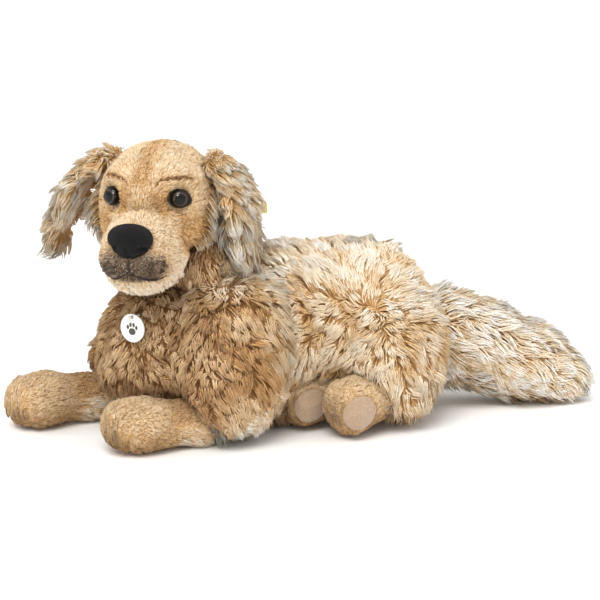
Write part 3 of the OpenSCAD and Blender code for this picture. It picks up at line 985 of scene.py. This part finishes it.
class PLUSH_OT_nose_and_mouth(bpy.types.Operator):
    """Makes the flocked nose and the stitched mouth"""

    bl_idname = "plush.nose_and_mouth"
    bl_label = "Nose and Mouth"

    def execute(self, context):
        width = context.scene.plush_trim.nose_width
        at = box_centre("nose")
        deselect()
        bpy.ops.mesh.primitive_uv_sphere_add(segments=64, ring_count=40, radius=1)
        nose = context.object
        nose.name = nose.data.name = "nose_pad"
        p = coordinates(nose)
        x, y, z = p[:, 0], p[:, 1], p[:, 2]
        # Wider and flatter above, narrower below, with two nostril dents and a cleft.
        y = y * (1 + 0.12 * z)
        z = np.sign(z) * np.abs(z) ** 0.92
        for side in (-1, 1):
            d = np.sqrt((y - side * 0.62) ** 2 + ((z + 0.3) * 1.3) ** 2)
            x = x + 0.42 * np.exp(-((d / 0.2) ** 2)) * (x < 0)
            slit = np.exp(-(((y - side * 0.95) / 0.2) ** 2))
            y = y - side * 0.1 * slit * np.exp(-(((z + 0.35) / 0.14) ** 2))
        x = x + 0.16 * np.exp(-((y / 0.07) ** 2)) * smooth_step(-z, -0.1, 0.5) * (x < 0)
        half = np.array([0.0152, width / 2, 0.0163])
        local = np.stack([x, y, z], 1) * half
        tilt = math.radians(-8)
        tipped = np.stack([local[:, 0] * math.cos(tilt) + local[:, 2] * math.sin(tilt), local[:, 1],
                           -local[:, 0] * math.sin(tilt) + local[:, 2] * math.cos(tilt)], 1)
        set_coordinates(nose, at + head_vector(tipped[:, :1], tipped[:, 1:2], tipped[:, 2:]))
        smooth_shaded(nose)
        give(nose, fabric("nose_flock", (27, 26, 26), (5, 5, 5), 900, bump=0.9, sheen=0.04, roughness=1.0))
        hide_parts("nose")
        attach(nose, "head")
        remember("nose", nose)

        MOUTH.clear()
        thread = fabric("mouth_thread_dye", (62, 48, 40), (36, 27, 23), 900, bump=0.5, sheen=0.1)
        tree = tree_of(["head"])
        paths = [[(0, -38), (0, -43), (0, -49)]]
        for side in (-1, 1):
            paths.append([(0, -49), (side * 6, -53), (side * 13, -57), (side * 21, -58.5), (side * 27, -57)])
        deselect()
        tubes = []
        for path in paths:
            curve = bpy.data.curves.new("mouth", "CURVE")
            curve.dimensions = "3D"
            curve.bevel_depth = 0.0011
            curve.bevel_resolution = 3
            curve.use_fill_caps = True
            spline = curve.splines.new("BEZIER")
            spline.bezier_points.add(len(path) - 1)
            for point, (y, z) in zip(spline.bezier_points, path):
                start = from_head(-150, y, z)
                found = tree.ray_cast(start, HEAD_BACK, 0.2)
                place = found[0] if found[0] is not None else Vector(from_head(-104, y, z))
                point.co = place - Vector(HEAD_BACK) * 0.0022
                MOUTH.append(np.array(place))
                point.handle_left_type = point.handle_right_type = "AUTO"
            tube = bpy.data.objects.new("mouth", curve)
            context.scene.collection.objects.link(tube)
            tube.select_set(True)
            tubes.append(tube)
        context.view_layer.objects.active = tubes[0]
        bpy.ops.object.convert(target="MESH")
        bpy.ops.object.join()
        mouth = context.object
        mouth.name = mouth.data.name = "mouth_stitch"
        smooth_shaded(mouth)
        give(mouth, thread)
        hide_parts("mouth_thread")
        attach(mouth, "head")
        return {"FINISHED"}


class PLUSH_OT_label_and_tag(bpy.types.Operator):
    """Makes the woven ear label and finishes the chest tag"""

    bl_idname = "plush.label_and_tag"
    bl_label = "Ear Label and Chest Tag"

    def execute(self, context):
        trim = context.scene.plush_trim
        deselect()
        bpy.ops.mesh.primitive_cube_add(size=1)
        label = context.object
        label.name = label.data.name = "ear_ribbon"
        edit_all(label, bpy.ops.mesh.subdivide, number_cuts=7)
        p = coordinates(label)
        along, across, thick = p[:, 0] + 0.5, p[:, 2], p[:, 1]
        x = 33 + 25 * along
        y = -1 * (32 + 7 * along + thick * 1.4)
        z = -52 + across * 10.5 - 2.5 * along + 1.2 * np.sin(along * 2.4)
        hinge = np.array([6, -51, 42])
        local = np.stack([x, y, z], 1) + hinge
        set_coordinates(label, from_head(local[:, :1], local[:, 1:2], local[:, 2:]))
        apply(label, "SUBSURF", levels=1, render_levels=1)
        edit_all(label, bpy.ops.mesh.normals_make_consistent, inside=False)
        smooth_shaded(label)
        give(label, woven_ribbon(trim.label))
        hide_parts("ear_label")
        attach(label, "ear_left")
        remember("label", label)
        give(NODES["chest_tag"], paw_print_tag())
        cotton = fabric("white_cotton", (240, 238, 230), (214, 210, 200), 800, bump=0.5, sheen=0.1)
        give(NODES["tag_thread"], cotton)
        COVERS["tag"] = (coordinates(NODES["chest_tag"]), triangles(NODES["chest_tag"]), None)
        return {"FINISHED"}


def woven_ribbon(colour):
    """A plain woven ribbon of warp and weft ridges, with painted shade darkening it between them."""
    mat, tree, shader = new_material("ribbon_weave")
    if not tree:
        return mat
    place = add_node(tree, "TexCoord").outputs["Object"]
    warp, weft = (
        add_node(tree, "TexWave", {"Scale": 320, "Vector": place}, bands_direction=axis).outputs["Fac"]
        for axis in ("X", "Z")
    )
    weave = add_node(tree, "Math", {0: warp, 1: weft}, operation="MULTIPLY").outputs["Value"]
    # Painted shade: the colour darkens between the ridges.
    set_inputs(tree, shader, {
        "Base Color": mix_colours(tree, weave, [c * 0.8 for c in colour], colour),
        "Normal": raised_by(tree, weave, 0.4, 0.0004),
        "Roughness": 0.6,
        "Sheen Weight": 0.2,
    })
    return mat


# Each pad of the paw print is (across, up, half width, half height) in millimetres, from the tag's middle.
PAW_PADS = (
    (0, -3.4, 4.2, 3.4),
    (-5.2, 0.8, 1.6, 2.2),
    (-1.9, 3.2, 1.6, 2.3),
    (1.9, 3.2, 1.6, 2.3),
    (5.2, 0.8, 1.6, 2.2),
)


def paw_print_tag():
    """Glossy card with a plain paw print on its face, laid out from the tag's middle."""
    mat, tree, shader = new_material("tag_gloss")
    if not tree:
        return mat

    def math_node(operation, *values):
        return add_node(tree, "Math", dict(enumerate(values)), operation=operation).outputs["Value"]

    centre = box_centre("chest_tag")
    across = unit(np.array(JOINTS["tag_swing"]["axis"]))
    place = add_node(tree, "TexCoord").outputs["Object"]
    inked = None
    for u, v, w, h in PAW_PADS:
        terms = []
        for direction, offset, half in ((across, u, w), (UP, v, h)):
            dot = add_node(tree, "VectorMath", operation="DOT_PRODUCT")
            set_inputs(tree, dot, {0: place, 1: tuple(direction / (half * MM))})
            middle = float(centre @ direction / (half * MM) + offset / half)
            away = math_node("ABSOLUTE", math_node("SUBTRACT", dot.outputs["Value"], middle))
            terms.append(math_node("POWER", away, 2))
        pad = math_node("LESS_THAN", math_node("ADD", *terms), 1)
        inked = pad if inked is None else math_node("MAXIMUM", inked, pad)
    set_inputs(tree, shader, {
        "Base Color": mix_colours(tree, inked, linear((240, 238, 234)), linear((60, 54, 50))),
        "Roughness": 0.25,
        "Coat Weight": 0.4,
    })
    return mat


FILLING_INSET = 0.003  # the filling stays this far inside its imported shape
FILLINGS = {
    "torso_stuffing": "torso",
    "sleeve_left_stuffing": "torso",
    "sleeve_right_stuffing": "torso",
    "thigh_left_stuffing": "torso",
    "neck_stuffing": "neck",
    "head_stuffing": "head",
    "muzzle_stuffing": "head",
    "forearm_left_stuffing": "forearm_left",
    "forearm_right_stuffing": "forearm_right",
    "foot_left_stuffing": "foot_left",
    "foot_right_stuffing": "foot_right",
    "tail_root_stuffing": "tail_root",
    "tail_stuffing": "tail",
}


class PLUSH_OT_inner_parts(bpy.types.Operator):
    """Finishes the parts inside: filling, pellet pouch and eye washers"""

    bl_idname = "plush.inner_parts"
    bl_label = "Filling, Pouch and Washers"

    def execute(self, context):
        filling = fabric("fibre_filling", (246, 246, 243), (226, 226, 222), 140, bump=0.6)
        pouch = fabric("pouch_cloth", (214, 214, 212), (186, 186, 186), 260, bump=0.6)
        washer = fabric("washer_plastic", (238, 238, 234), (226, 226, 222), 90,
                        bump=0.05, roughness=0.45, sheen=0.0)
        for node, body in FILLINGS.items():
            obj = bpy.data.objects.new(node + "_fibre", NODES[node].data.copy())
            context.scene.collection.objects.link(obj)
            edit_all(obj, bpy.ops.mesh.remove_doubles, threshold=MERGE)
            co = coordinates(obj) - normals(obj) * FILLING_INSET
            co = slim_wrist(body, co) if body.startswith("forearm") else co
            set_coordinates(obj, rounded_rump(co) if body == "torso" else co)
            give(obj, filling)
            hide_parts(node)
            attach(obj, body)
        for name, node in NODES.items():
            if name == "pellet_pouch":
                give(node, pouch)
            elif "washer" in name:
                give(node, washer)
        return {"FINISHED"}


def swept(*direction):
    """A comb that lies the same way everywhere."""
    way = unit(np.array(direction, float))
    return lambda p, n: np.repeat(way[None], len(p), 0)


WHORL_X, WHORL_Z = 0.044, 0.128  # middle of the whorl on each hip


def torso_comb(p, n):
    """Down and back on the shoulders, round a whorl at the hip, straight down on the chest."""
    side = np.where(p[:, 1] < 0.008, -1.0, 1.0)
    whorl = np.stack([np.full(len(p), WHORL_X), side * 0.08, np.full(len(p), WHORL_Z)], 1)
    spin = unit(p - whorl)
    spin = spin + np.array([0.1, 0, -0.35])
    front = smooth_step(-p[:, 0], 0.03, 0.08)[:, None]
    chest = smooth_step(-p[:, 0], 0.13, 0.17)[:, None]
    shoulder = np.array([0.35, 0, -1.0])
    way = spin * (1 - front) + shoulder * front
    return way * (1 - chest) + np.array([0.0, 0.0, -1.0]) * chest


def torso_tint(p, n):
    """Golden with pale tips and browner on the chest and shoulders; painted shade makes it browner low on the
    sides, and painted light makes it paler where it faces up.
    """
    chest = smooth_step(-p[:, 0], 0.1, 0.16)
    # Painted shade: browner low on the front sides, near the floor.
    low = smooth_step(0.07 - p[:, 2], 0, 0.05) * smooth_step(-p[:, 0], -0.06, 0.02)
    shoulder = smooth_step(-p[:, 0], 0.05, 0.105) * smooth_step(p[:, 2], 0.035, 0.07)
    # Painted light: the shoulders' brown fades where they face up.
    shoulder *= 1 - 0.6 * smooth_step(n[:, 2], 0.4, 0.9)
    # Painted light: paler where the cover faces up.
    back = smooth_step(n[:, 2], 0.3, 0.9)
    colours = mixed_bands(back, GOLDEN, PALE_GOLD)
    toned = shoulder[:, None, None] * 0.9
    colours = colours * (1 - toned) + np.array(SHOULDER, float) * toned
    browner = mixed_bands(np.ones(len(p)), GOLDEN, CHEST)
    share = np.clip(chest * 0.95 + low * 0.45, 0, 1)[:, None, None]
    return colours * (1 - share) + browner * share


def away_from(points, spots):
    """1 well away from every (centre, radius) spot, 0 inside them."""
    share = np.ones(len(points))
    for centre, radius in spots:
        d = np.linalg.norm(points - np.asarray(centre), axis=1)
        share *= smooth_step(d, radius * 0.92, radius * 1.02)
    return share


class PLUSH_OT_body_pile(bpy.types.Operator):
    """Grows the long pile of the torso, neck and tail"""

    bl_idname = "plush.body_pile"
    bl_label = "Body Pile"

    def execute(self, context):
        pile = context.scene.plush_pile
        tag = box_centre("chest_tag")

        def body_length(p):
            size = np.full(len(p), pile.body_length)
            size *= 1 - 0.25 * smooth_step(-p[:, 0], 0.1, 0.16)
            size *= 1 - 0.7 * bump_at(p, tag, 0.036)
            size *= 1 - 0.35 * smooth_step(p[:, 0], 0.1, 0.13)
            return size

        def torso_where(p, n):
            seen = np.where(p[:, 1] < 0.03, 1.0, 0.55)
            under = np.where((n[:, 2] < -0.5) & (p[:, 2] < 0.03), 0.12, 1.0)
            return seen * under

        coat("torso_pile", "torso", "torso", torso_where, 0.42 * pile.fullness, body_length, pile.lock_width,
             torso_comb, torso_tint,
             ["torso", "forearm_left", "forearm_right", "foot_left", "foot_right", "foot_left_sole",
              "foot_right_sole", "tail", "neck", "head", "tag"], 11, bands=2, most=19000)

        def fringe_where(p, n):
            along = smooth_step(p[:, 0], -0.15, -0.13) * smooth_step(-0.045 - p[:, 0], 0, 0.02)
            return along * (p[:, 1] < -0.035) * smooth_step(0.05 - p[:, 2], 0, 0.012) * (n[:, 2] < 0.3)

        coat("sleeve_fringe", "torso", "torso", fringe_where, 0.3 * pile.fullness, 22, pile.lock_width,
             swept(0.75, -0.25, -0.8), bands_of((206, 160, 102), (240, 218, 182), (250, 243, 230)),
             ["torso", "forearm_left", "foot_right"], 14, rise=40, lie=4)

        def neck_tint(p, n):
            front = smooth_step(-(n @ unit(np.array([1.0, 0.55, 0]))), -0.1, 0.5)
            return mixed_bands(front, GOLDEN, CHEST)

        def neck_comb(p, n):
            return np.repeat(np.array([[0.25, 0.1, -1.0]]), len(p), 0)

        def neck_where(p, n):
            return np.where(n[:, 2] > 0.9, 0, 1.0)

        coat("neck_pile", "neck", "neck", neck_where, 0.34 * pile.fullness, 18, pile.lock_width, neck_comb,
             neck_tint, ["neck", "head", "torso", "ear_left", "ear_right"], 12, bands=2)

        pivot = np.array(JOINTS["neck_turn"]["pos_m"])

        def rim_comb(p, n):
            away = unit((p - pivot) * np.array([1, 1, 0]))
            return UP + away * 0.15

        def rim_where(p, n):
            return smooth_step(p[:, 2], 0.188, 0.196) * (n[:, 2] < 0.85)

        coat("neck_rim_pile", "neck", "neck", rim_where, 0.4 * pile.fullness, 22, pile.lock_width, rim_comb,
             neck_tint, ["neck", "head", "ear_left", "ear_right"], 15, rise=58, lie=48, bands=2)

        bend = tail_bend()
        direction = unit(np.array(bend[1]) - np.array(bend[0])) + np.array([0, 0, -0.15])

        def tail_comb(p, n):
            return unit(direction) + np.array([0, 0, -0.45]) * np.abs(n[:, 1:2])

        def tail_where(p, n):
            return np.where((n[:, 2] < -0.6) & (p[:, 2] < 0.02), 0.3, 1.0) * np.where(n[:, 1] > 0.3, 0.7, 1.0)

        # Painted light: the tail's pile is paler where it faces up.
        coat("tail_pile", "tail", None, tail_where, 0.215 * pile.fullness, pile.tail_length, pile.lock_width,
             tail_comb, lambda p, n: mixed_bands(smooth_step(n[:, 2], -0.2, 0.7), PALE_GOLD, TAIL_GOLD),
             ["tail", "torso"], 13, rise=50, lie=10, across=("tail_root", "tail", *bend))
        return {"FINISHED"}


def face_share(local):
    """1 where the head carries clipped pile, 0 where it carries long pile."""
    front = smooth_step(-local[:, 0], -4, 10)
    crown = smooth_step(local[:, 2], 30, 44) * smooth_step(-local[:, 0], -28, -10)
    cheek = 1 - smooth_step(np.abs(local[:, 1]), 47, 54) * smooth_step(local[:, 0], -30, -10)
    return np.clip(np.maximum(front * cheek, crown), 0, 1)


def face_tint(p, n):
    """Beige with a pale brow, a brown streak, a pale muzzle, sooty lips and gold cheeks, with painted shade
    along the brow creases and the muzzle seam.
    """
    local = to_head(p)
    x, y, z = local.T
    ragged = np.random.default_rng(5).normal(0, 1, len(p))
    wide = np.abs(y)
    base = np.repeat(np.array([SHORT_BEIGE], float), len(p), 0)

    def paint(share, *stops):
        nonlocal base
        s = np.clip(share, 0, 1)[:, None, None]
        base = base * (1 - s) + np.array(stops, float) * s

    paint(smooth_step(z, 24, 36) * smooth_step(-x, -30, 0), (200, 168, 130), (223, 198, 166), (229, 207, 179))
    paint(smooth_step(14 - wide + ragged, 0, 11) * smooth_step(z, 22, 32) * 0.8,
          (146, 104, 68), (190, 148, 106), (208, 170, 126))
    inner = np.maximum(bump_at(local, (-58, -17, 12), 20), bump_at(local, (-58, 17, 12), 20))
    paint(inner * 1.2, (150, 108, 66), (194, 150, 100), (214, 174, 124))
    cheek = smooth_step(wide, 26, 38) * smooth_step(-z, -4, 12) * smooth_step(-z, 66, 50)
    paint(cheek * smooth_step(x, -66, -50), (168, 122, 74), (206, 160, 104), (222, 182, 128))
    muzzle = smooth_step(-x, 58, 70) * smooth_step(-z, -8, 4)
    paint(muzzle, (196, 166, 130), (221, 199, 172), (229, 211, 187))
    lips = smooth_step(-z, 24, 40) * smooth_step(66 + z + 2 * ragged, 0, 9) * smooth_step(-x, 74, 94)
    lips *= smooth_step(37 - wide + 2 * ragged, 0, 16) * (0.84 + 0.12 * ragged)
    paint(lips * 1.05, (66, 57, 50), (100, 88, 76), (132, 118, 102))
    dark = np.exp(-((wide / 3.5) ** 2)) + np.exp(-(((wide - 19) / 8) ** 2)) * np.exp(-(((z + 47) / 8) ** 2))
    paint(dark * smooth_step(-z, 36, 41) * smooth_step(62 + z, 0, 5) * (x < -80) * 0.75,
          (50, 43, 38), (72, 62, 54), (104, 92, 80))
    for spot in ((-92, -29, -42), (-93, -28, -49), (-88, -33, -46), (-92, 29, -42), (-93, 28, -49)):
        paint(bump_at(local, spot, 4.5) * 1.6, (40, 34, 30), (66, 56, 48), (92, 80, 68))
    paint(smooth_step(-z, 57, 61) * smooth_step(-x, 34, 44), *LOWER_LIP)
    for side in (-1, 1):
        paint(bump_at(local, (-56, side * 38, -52), 20) * 1.6, *LOWER_LIP)
    # Painted shade: a dark line along each brow crease.
    paint(brow_crease(local) * 1.2, (86, 58, 38), (104, 72, 46), (150, 108, 66))
    # Painted shade: darker along the muzzle seam's groove.
    paint(muzzle_seam(local), (160, 118, 74), (190, 148, 100), (214, 174, 124))
    return base


def face_comb(p, n):
    """Back from the nose, down the cheeks and up over the brow."""
    local = to_head(p)
    back = np.repeat(HEAD_BACK[None], len(p), 0)
    rise = smooth_step(local[:, 2], -10, 30)[:, None] * UP * 0.9
    fall = smooth_step(-local[:, 2], 5, 40)[:, None] * UP * -0.5
    spread = np.sign(local[:, 1:2]) * smooth_step(np.abs(local[:, 1:2]), 4, 20) * HEAD_RIGHT * 0.7
    return back + rise + fall + spread


class PLUSH_OT_head_pile(bpy.types.Operator):
    """Grows the clipped face pile, the long pile of the head's back and sides, and the ears' pile"""

    bl_idname = "plush.head_pile"
    bl_label = "Head and Ear Pile"

    def execute(self, context):
        pile = context.scene.plush_pile
        spots = [(box_centre("eye_felt_left"), 0.0102), (box_centre("eye_felt_right"), 0.0102)]
        for first, second in zip(MOUTH, MOUTH[1:]):
            if np.linalg.norm(second - first) < 0.015:
                spots += [(first + (second - first) * t, 0.0022) for t in (0, 0.33, 0.67, 1)]

        def face_where(p, n):
            local = to_head(p)
            neckside = (local[:, 0] > -20) & (local[:, 2] < -40)
            return face_share(local) * away_from(p, spots) * np.where(neckside, 0, 1)

        def face_length(p):
            local = to_head(p)
            size = np.full(len(p), pile.face_length)
            size *= 1 + 0.7 * smooth_step(-local[:, 2], 56, 62)
            size *= 1 + 0.35 * smooth_step(local[:, 2], 34, 50)
            return size

        coat("face_pile", "head", "head", face_where, 0.62 * pile.fullness, face_length, 0.62, face_comb,
             face_tint, ["head", "nose"], 21, rise=48, lie=20, clump=4.5, swirl=16, drift=4, parting_roots_and_shade=0.15,
             **CLIPPED)

        def side_where(p, n):
            return 1 - face_share(to_head(p))

        def side_length(p):
            local = to_head(p)
            crown = smooth_step(local[:, 2], 22, 46)
            nape = smooth_step(-local[:, 2], 5, 30)
            return 18 - 11 * crown + 12 * nape

        def side_comb(p, n):
            local = to_head(p)
            return unit(HEAD_BACK * 0.35 - UP) + smooth_step(local[:, 2:3], 30, 50) * HEAD_BACK * 1.2

        near = ["head", "neck", "ear_left", "ear_right"]
        coat("head_side_pile", "head", "head", side_where, 0.3 * pile.fullness, side_length, 0.7, side_comb,
             bands_of(*PALE_GOLD), near, 22, rise=50, lie=16, gather=0.55)

        def whisker_where(p, n):
            local = to_head(p)
            beside = smooth_step(np.abs(local[:, 1]), 36, 44) * smooth_step(local[:, 0], -34, -24)
            return beside * smooth_step(26 - local[:, 0], 0, 8) * smooth_step(16 - local[:, 2], 0, 10)

        def whisker_comb(p, n):
            return n * np.array([1, 1, 0]) * 1.1 - UP + HEAD_BACK * 0.1

        def whisker_length(p):
            return np.where(to_head(p)[:, 1] > 0, 31.0, 22.0)

        coat("cheek_fur", "head", "head", whisker_where, 0.3 * pile.fullness, whisker_length, 0.62,
             whisker_comb, bands_of(*EAR_PALE), near, 27, rise=62, lie=22, gather=0.5, wave=0.35)

        for side, sign, lift in (("left", -1, 0.0), ("right", 1, EAR_LIFT)):
            outward = head_vector(0, sign * math.cos(lift), math.sin(lift))
            down = head_vector(0, sign * math.sin(lift), -math.cos(lift))
            hinge = from_head(6, sign * 51, 42)

            def ear_where(p, n):
                facing = n @ outward
                fall = (p - hinge) @ down / MM
                from_middle = np.abs((p - hinge) @ HEAD_BACK / MM)
                lining = (facing < -0.2) & (from_middle < 21) & (fall > 8) & (fall < 88)
                return np.where(lining, 0, 1.0)

            def ear_comb(p, n):
                sideways = np.clip((p - hinge) @ HEAD_BACK / MM / 34, -1, 1)[:, None]
                inner = smooth_step(-(n @ outward), 0, 0.4)[:, None]
                return down + HEAD_BACK * sideways * (0.75 + 1.3 * inner) + outward * 0.35

            def ear_length(p):
                fall = (p - hinge) @ down / MM
                size = np.full(len(p), pile.ear_length) * (0.8 + 0.35 * smooth_step(fall, 10, 80))
                rear = (p - hinge) @ HEAD_BACK / MM
                size *= 1 + 0.35 * smooth_step(rear, 12, 30)
                if sign < 0:
                    size *= 1 - 0.8 * bump_at(p, box_centre("ear_label"), 0.026)
                return size

            def ear_tint(p, n):
                fall = (p - hinge) @ down / MM
                inner = smooth_step(-(n @ outward), 0.0, 0.5)
                colours = mixed_bands(smooth_step(fall, 10, 70), DEEP_GOLD, EAR_PALE)
                pale = np.array(EAR_PALE, float)
                return colours * (1 - inner[:, None, None]) + pale * inner[:, None, None]

            blocks = [f"ear_{side}", "head"] + (["label"] if sign < 0 else [])
            coat(f"ear_{side}_pile", f"ear_{side}", f"ear_{side}", ear_where, 0.4 * pile.fullness,
                 ear_length, 0.62, ear_comb, ear_tint, blocks, 23 + sign,
                 rise=50, lie=12, gather=0.55, wave=0.42, swirl=14)
        return {"FINISHED"}


class PLUSH_OT_limb_pile(bpy.types.Operator):
    """Grows the pile of the forearms and hind feet"""

    bl_idname = "plush.limb_pile"
    bl_label = "Paw Pile"

    def execute(self, context):
        pile = context.scene.plush_pile
        for number, limb in enumerate(LIMBS):
            arm = limb.startswith("forearm")
            toes = toe_place(limb)[0]
            low, high = (np.array(c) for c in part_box(limb + "_toe_thread"))
            across = np.linspace(low[1], high[1], 3)
            gathers = turned_toes(limb, np.array([(toes[0], y, toes[2] - 0.004) for y in across]))
            spots = [(place, 0.0036) for place in gathers]
            sole = None if arm else box_centre(limb + "_sole")

            def paw_where(p, n):
                share = away_from(p, spots)
                share *= np.where((n[:, 2] < -0.7) & (p[:, 2] < 0.006), 0.15, 1.0)
                if sole is not None:
                    flat = np.linalg.norm((p - sole)[:, [0, 2]], axis=1)
                    share *= np.where((flat < 0.0172) & (n[:, 1] < -0.2), 0, 1)
                return share

            def paw_comb(p, n):
                away = unit(p - (toes + np.array([-0.02, 0, -0.01])))
                return away + np.array([0.6, 0, 0])

            def paw_tint(p, n):
                # Painted shade: browner where the paw faces down and on top of the wrist behind the paw.
                paw_shade = smooth_step(-n[:, 2], -0.1, 0.7)
                if arm:
                    wrist = smooth_step(p[:, 0], toes[0] + 0.045, toes[0] + 0.075)
                    paw_shade = np.maximum(paw_shade, wrist * smooth_step(n[:, 2], -0.1, 0.4) * 1.5)
                return mixed_bands(paw_shade * 0.6, PAW, PAW_SHADE)

            blocks = [limb, "torso"] + ([] if arm else [limb + "_sole"])
            coat(limb + "_pile", limb, limb, paw_where, 0.6 * pile.fullness, pile.paw_length, 0.62, paw_comb,
                 paw_tint, blocks, 31 + number, rise=54, lie=20, clump=5, wave=0.2, swirl=14, drift=8,
                 parting_roots_and_shade=0.4, **CLIPPED)
            if not arm:
                continue

            def feather_where(p, n):
                back = smooth_step(p[:, 0], toes[0] + 0.055, toes[0] + 0.075)
                return back * (n[:, 1] < -0.2) * (p[:, 2] < 0.03) * (p[:, 2] > 0.003)

            coat(limb + "_feather", limb, limb, feather_where, 0.4 * pile.fullness, 12, 0.6,
                 swept(0.9, -0.15, -0.35), bands_of((208, 166, 110), (236, 208, 164), (246, 233, 208)),
                 ["torso", limb], 41 + number, rise=32, lie=6, wave=0.2, bands=2)
        return {"FINISHED"}


STEPS = (
    PLUSH_OT_stage,
    PLUSH_OT_body_covers,
    PLUSH_OT_head_cover,
    PLUSH_OT_ears,
    PLUSH_OT_limbs,
    PLUSH_OT_eyes,
    PLUSH_OT_nose_and_mouth,
    PLUSH_OT_label_and_tag,
    PLUSH_OT_inner_parts,
    PLUSH_OT_body_pile,
    PLUSH_OT_head_pile,
    PLUSH_OT_limb_pile,
)


class PLUSH_PT_panel(bpy.types.Panel):
    """Lists the steps that build the dog"""

    bl_idname = "PLUSH_PT_panel"
    bl_label = "Plush Dog"
    bl_space_type = "VIEW_3D"
    bl_region_type = "UI"
    bl_category = "Plush Dog"

    def draw(self, context):
        layout = self.layout
        for group in (context.scene.plush_pile, context.scene.plush_trim):
            for name in group.bl_rna.properties.keys():
                if name not in ("rna_type", "name"):
                    layout.prop(group, name)
        for step in STEPS:
            layout.operator(step.bl_idname)


CLASSES = (PlushPileSettings, PlushTrimSettings, *STEPS, PLUSH_PT_panel)


def register():
    for cls in CLASSES:
        bpy.utils.register_class(cls)
    bpy.types.Scene.plush_pile = bpy.props.PointerProperty(type=PlushPileSettings)
    bpy.types.Scene.plush_trim = bpy.props.PointerProperty(type=PlushTrimSettings)


def unregister():
    del bpy.types.Scene.plush_trim
    del bpy.types.Scene.plush_pile
    for cls in reversed(CLASSES):
        bpy.utils.unregister_class(cls)


def main():
    register()
    for step in STEPS:
        group, name = step.bl_idname.split(".")
        getattr(getattr(bpy.ops, group), name)()


if __name__ == "__main__":
    main()
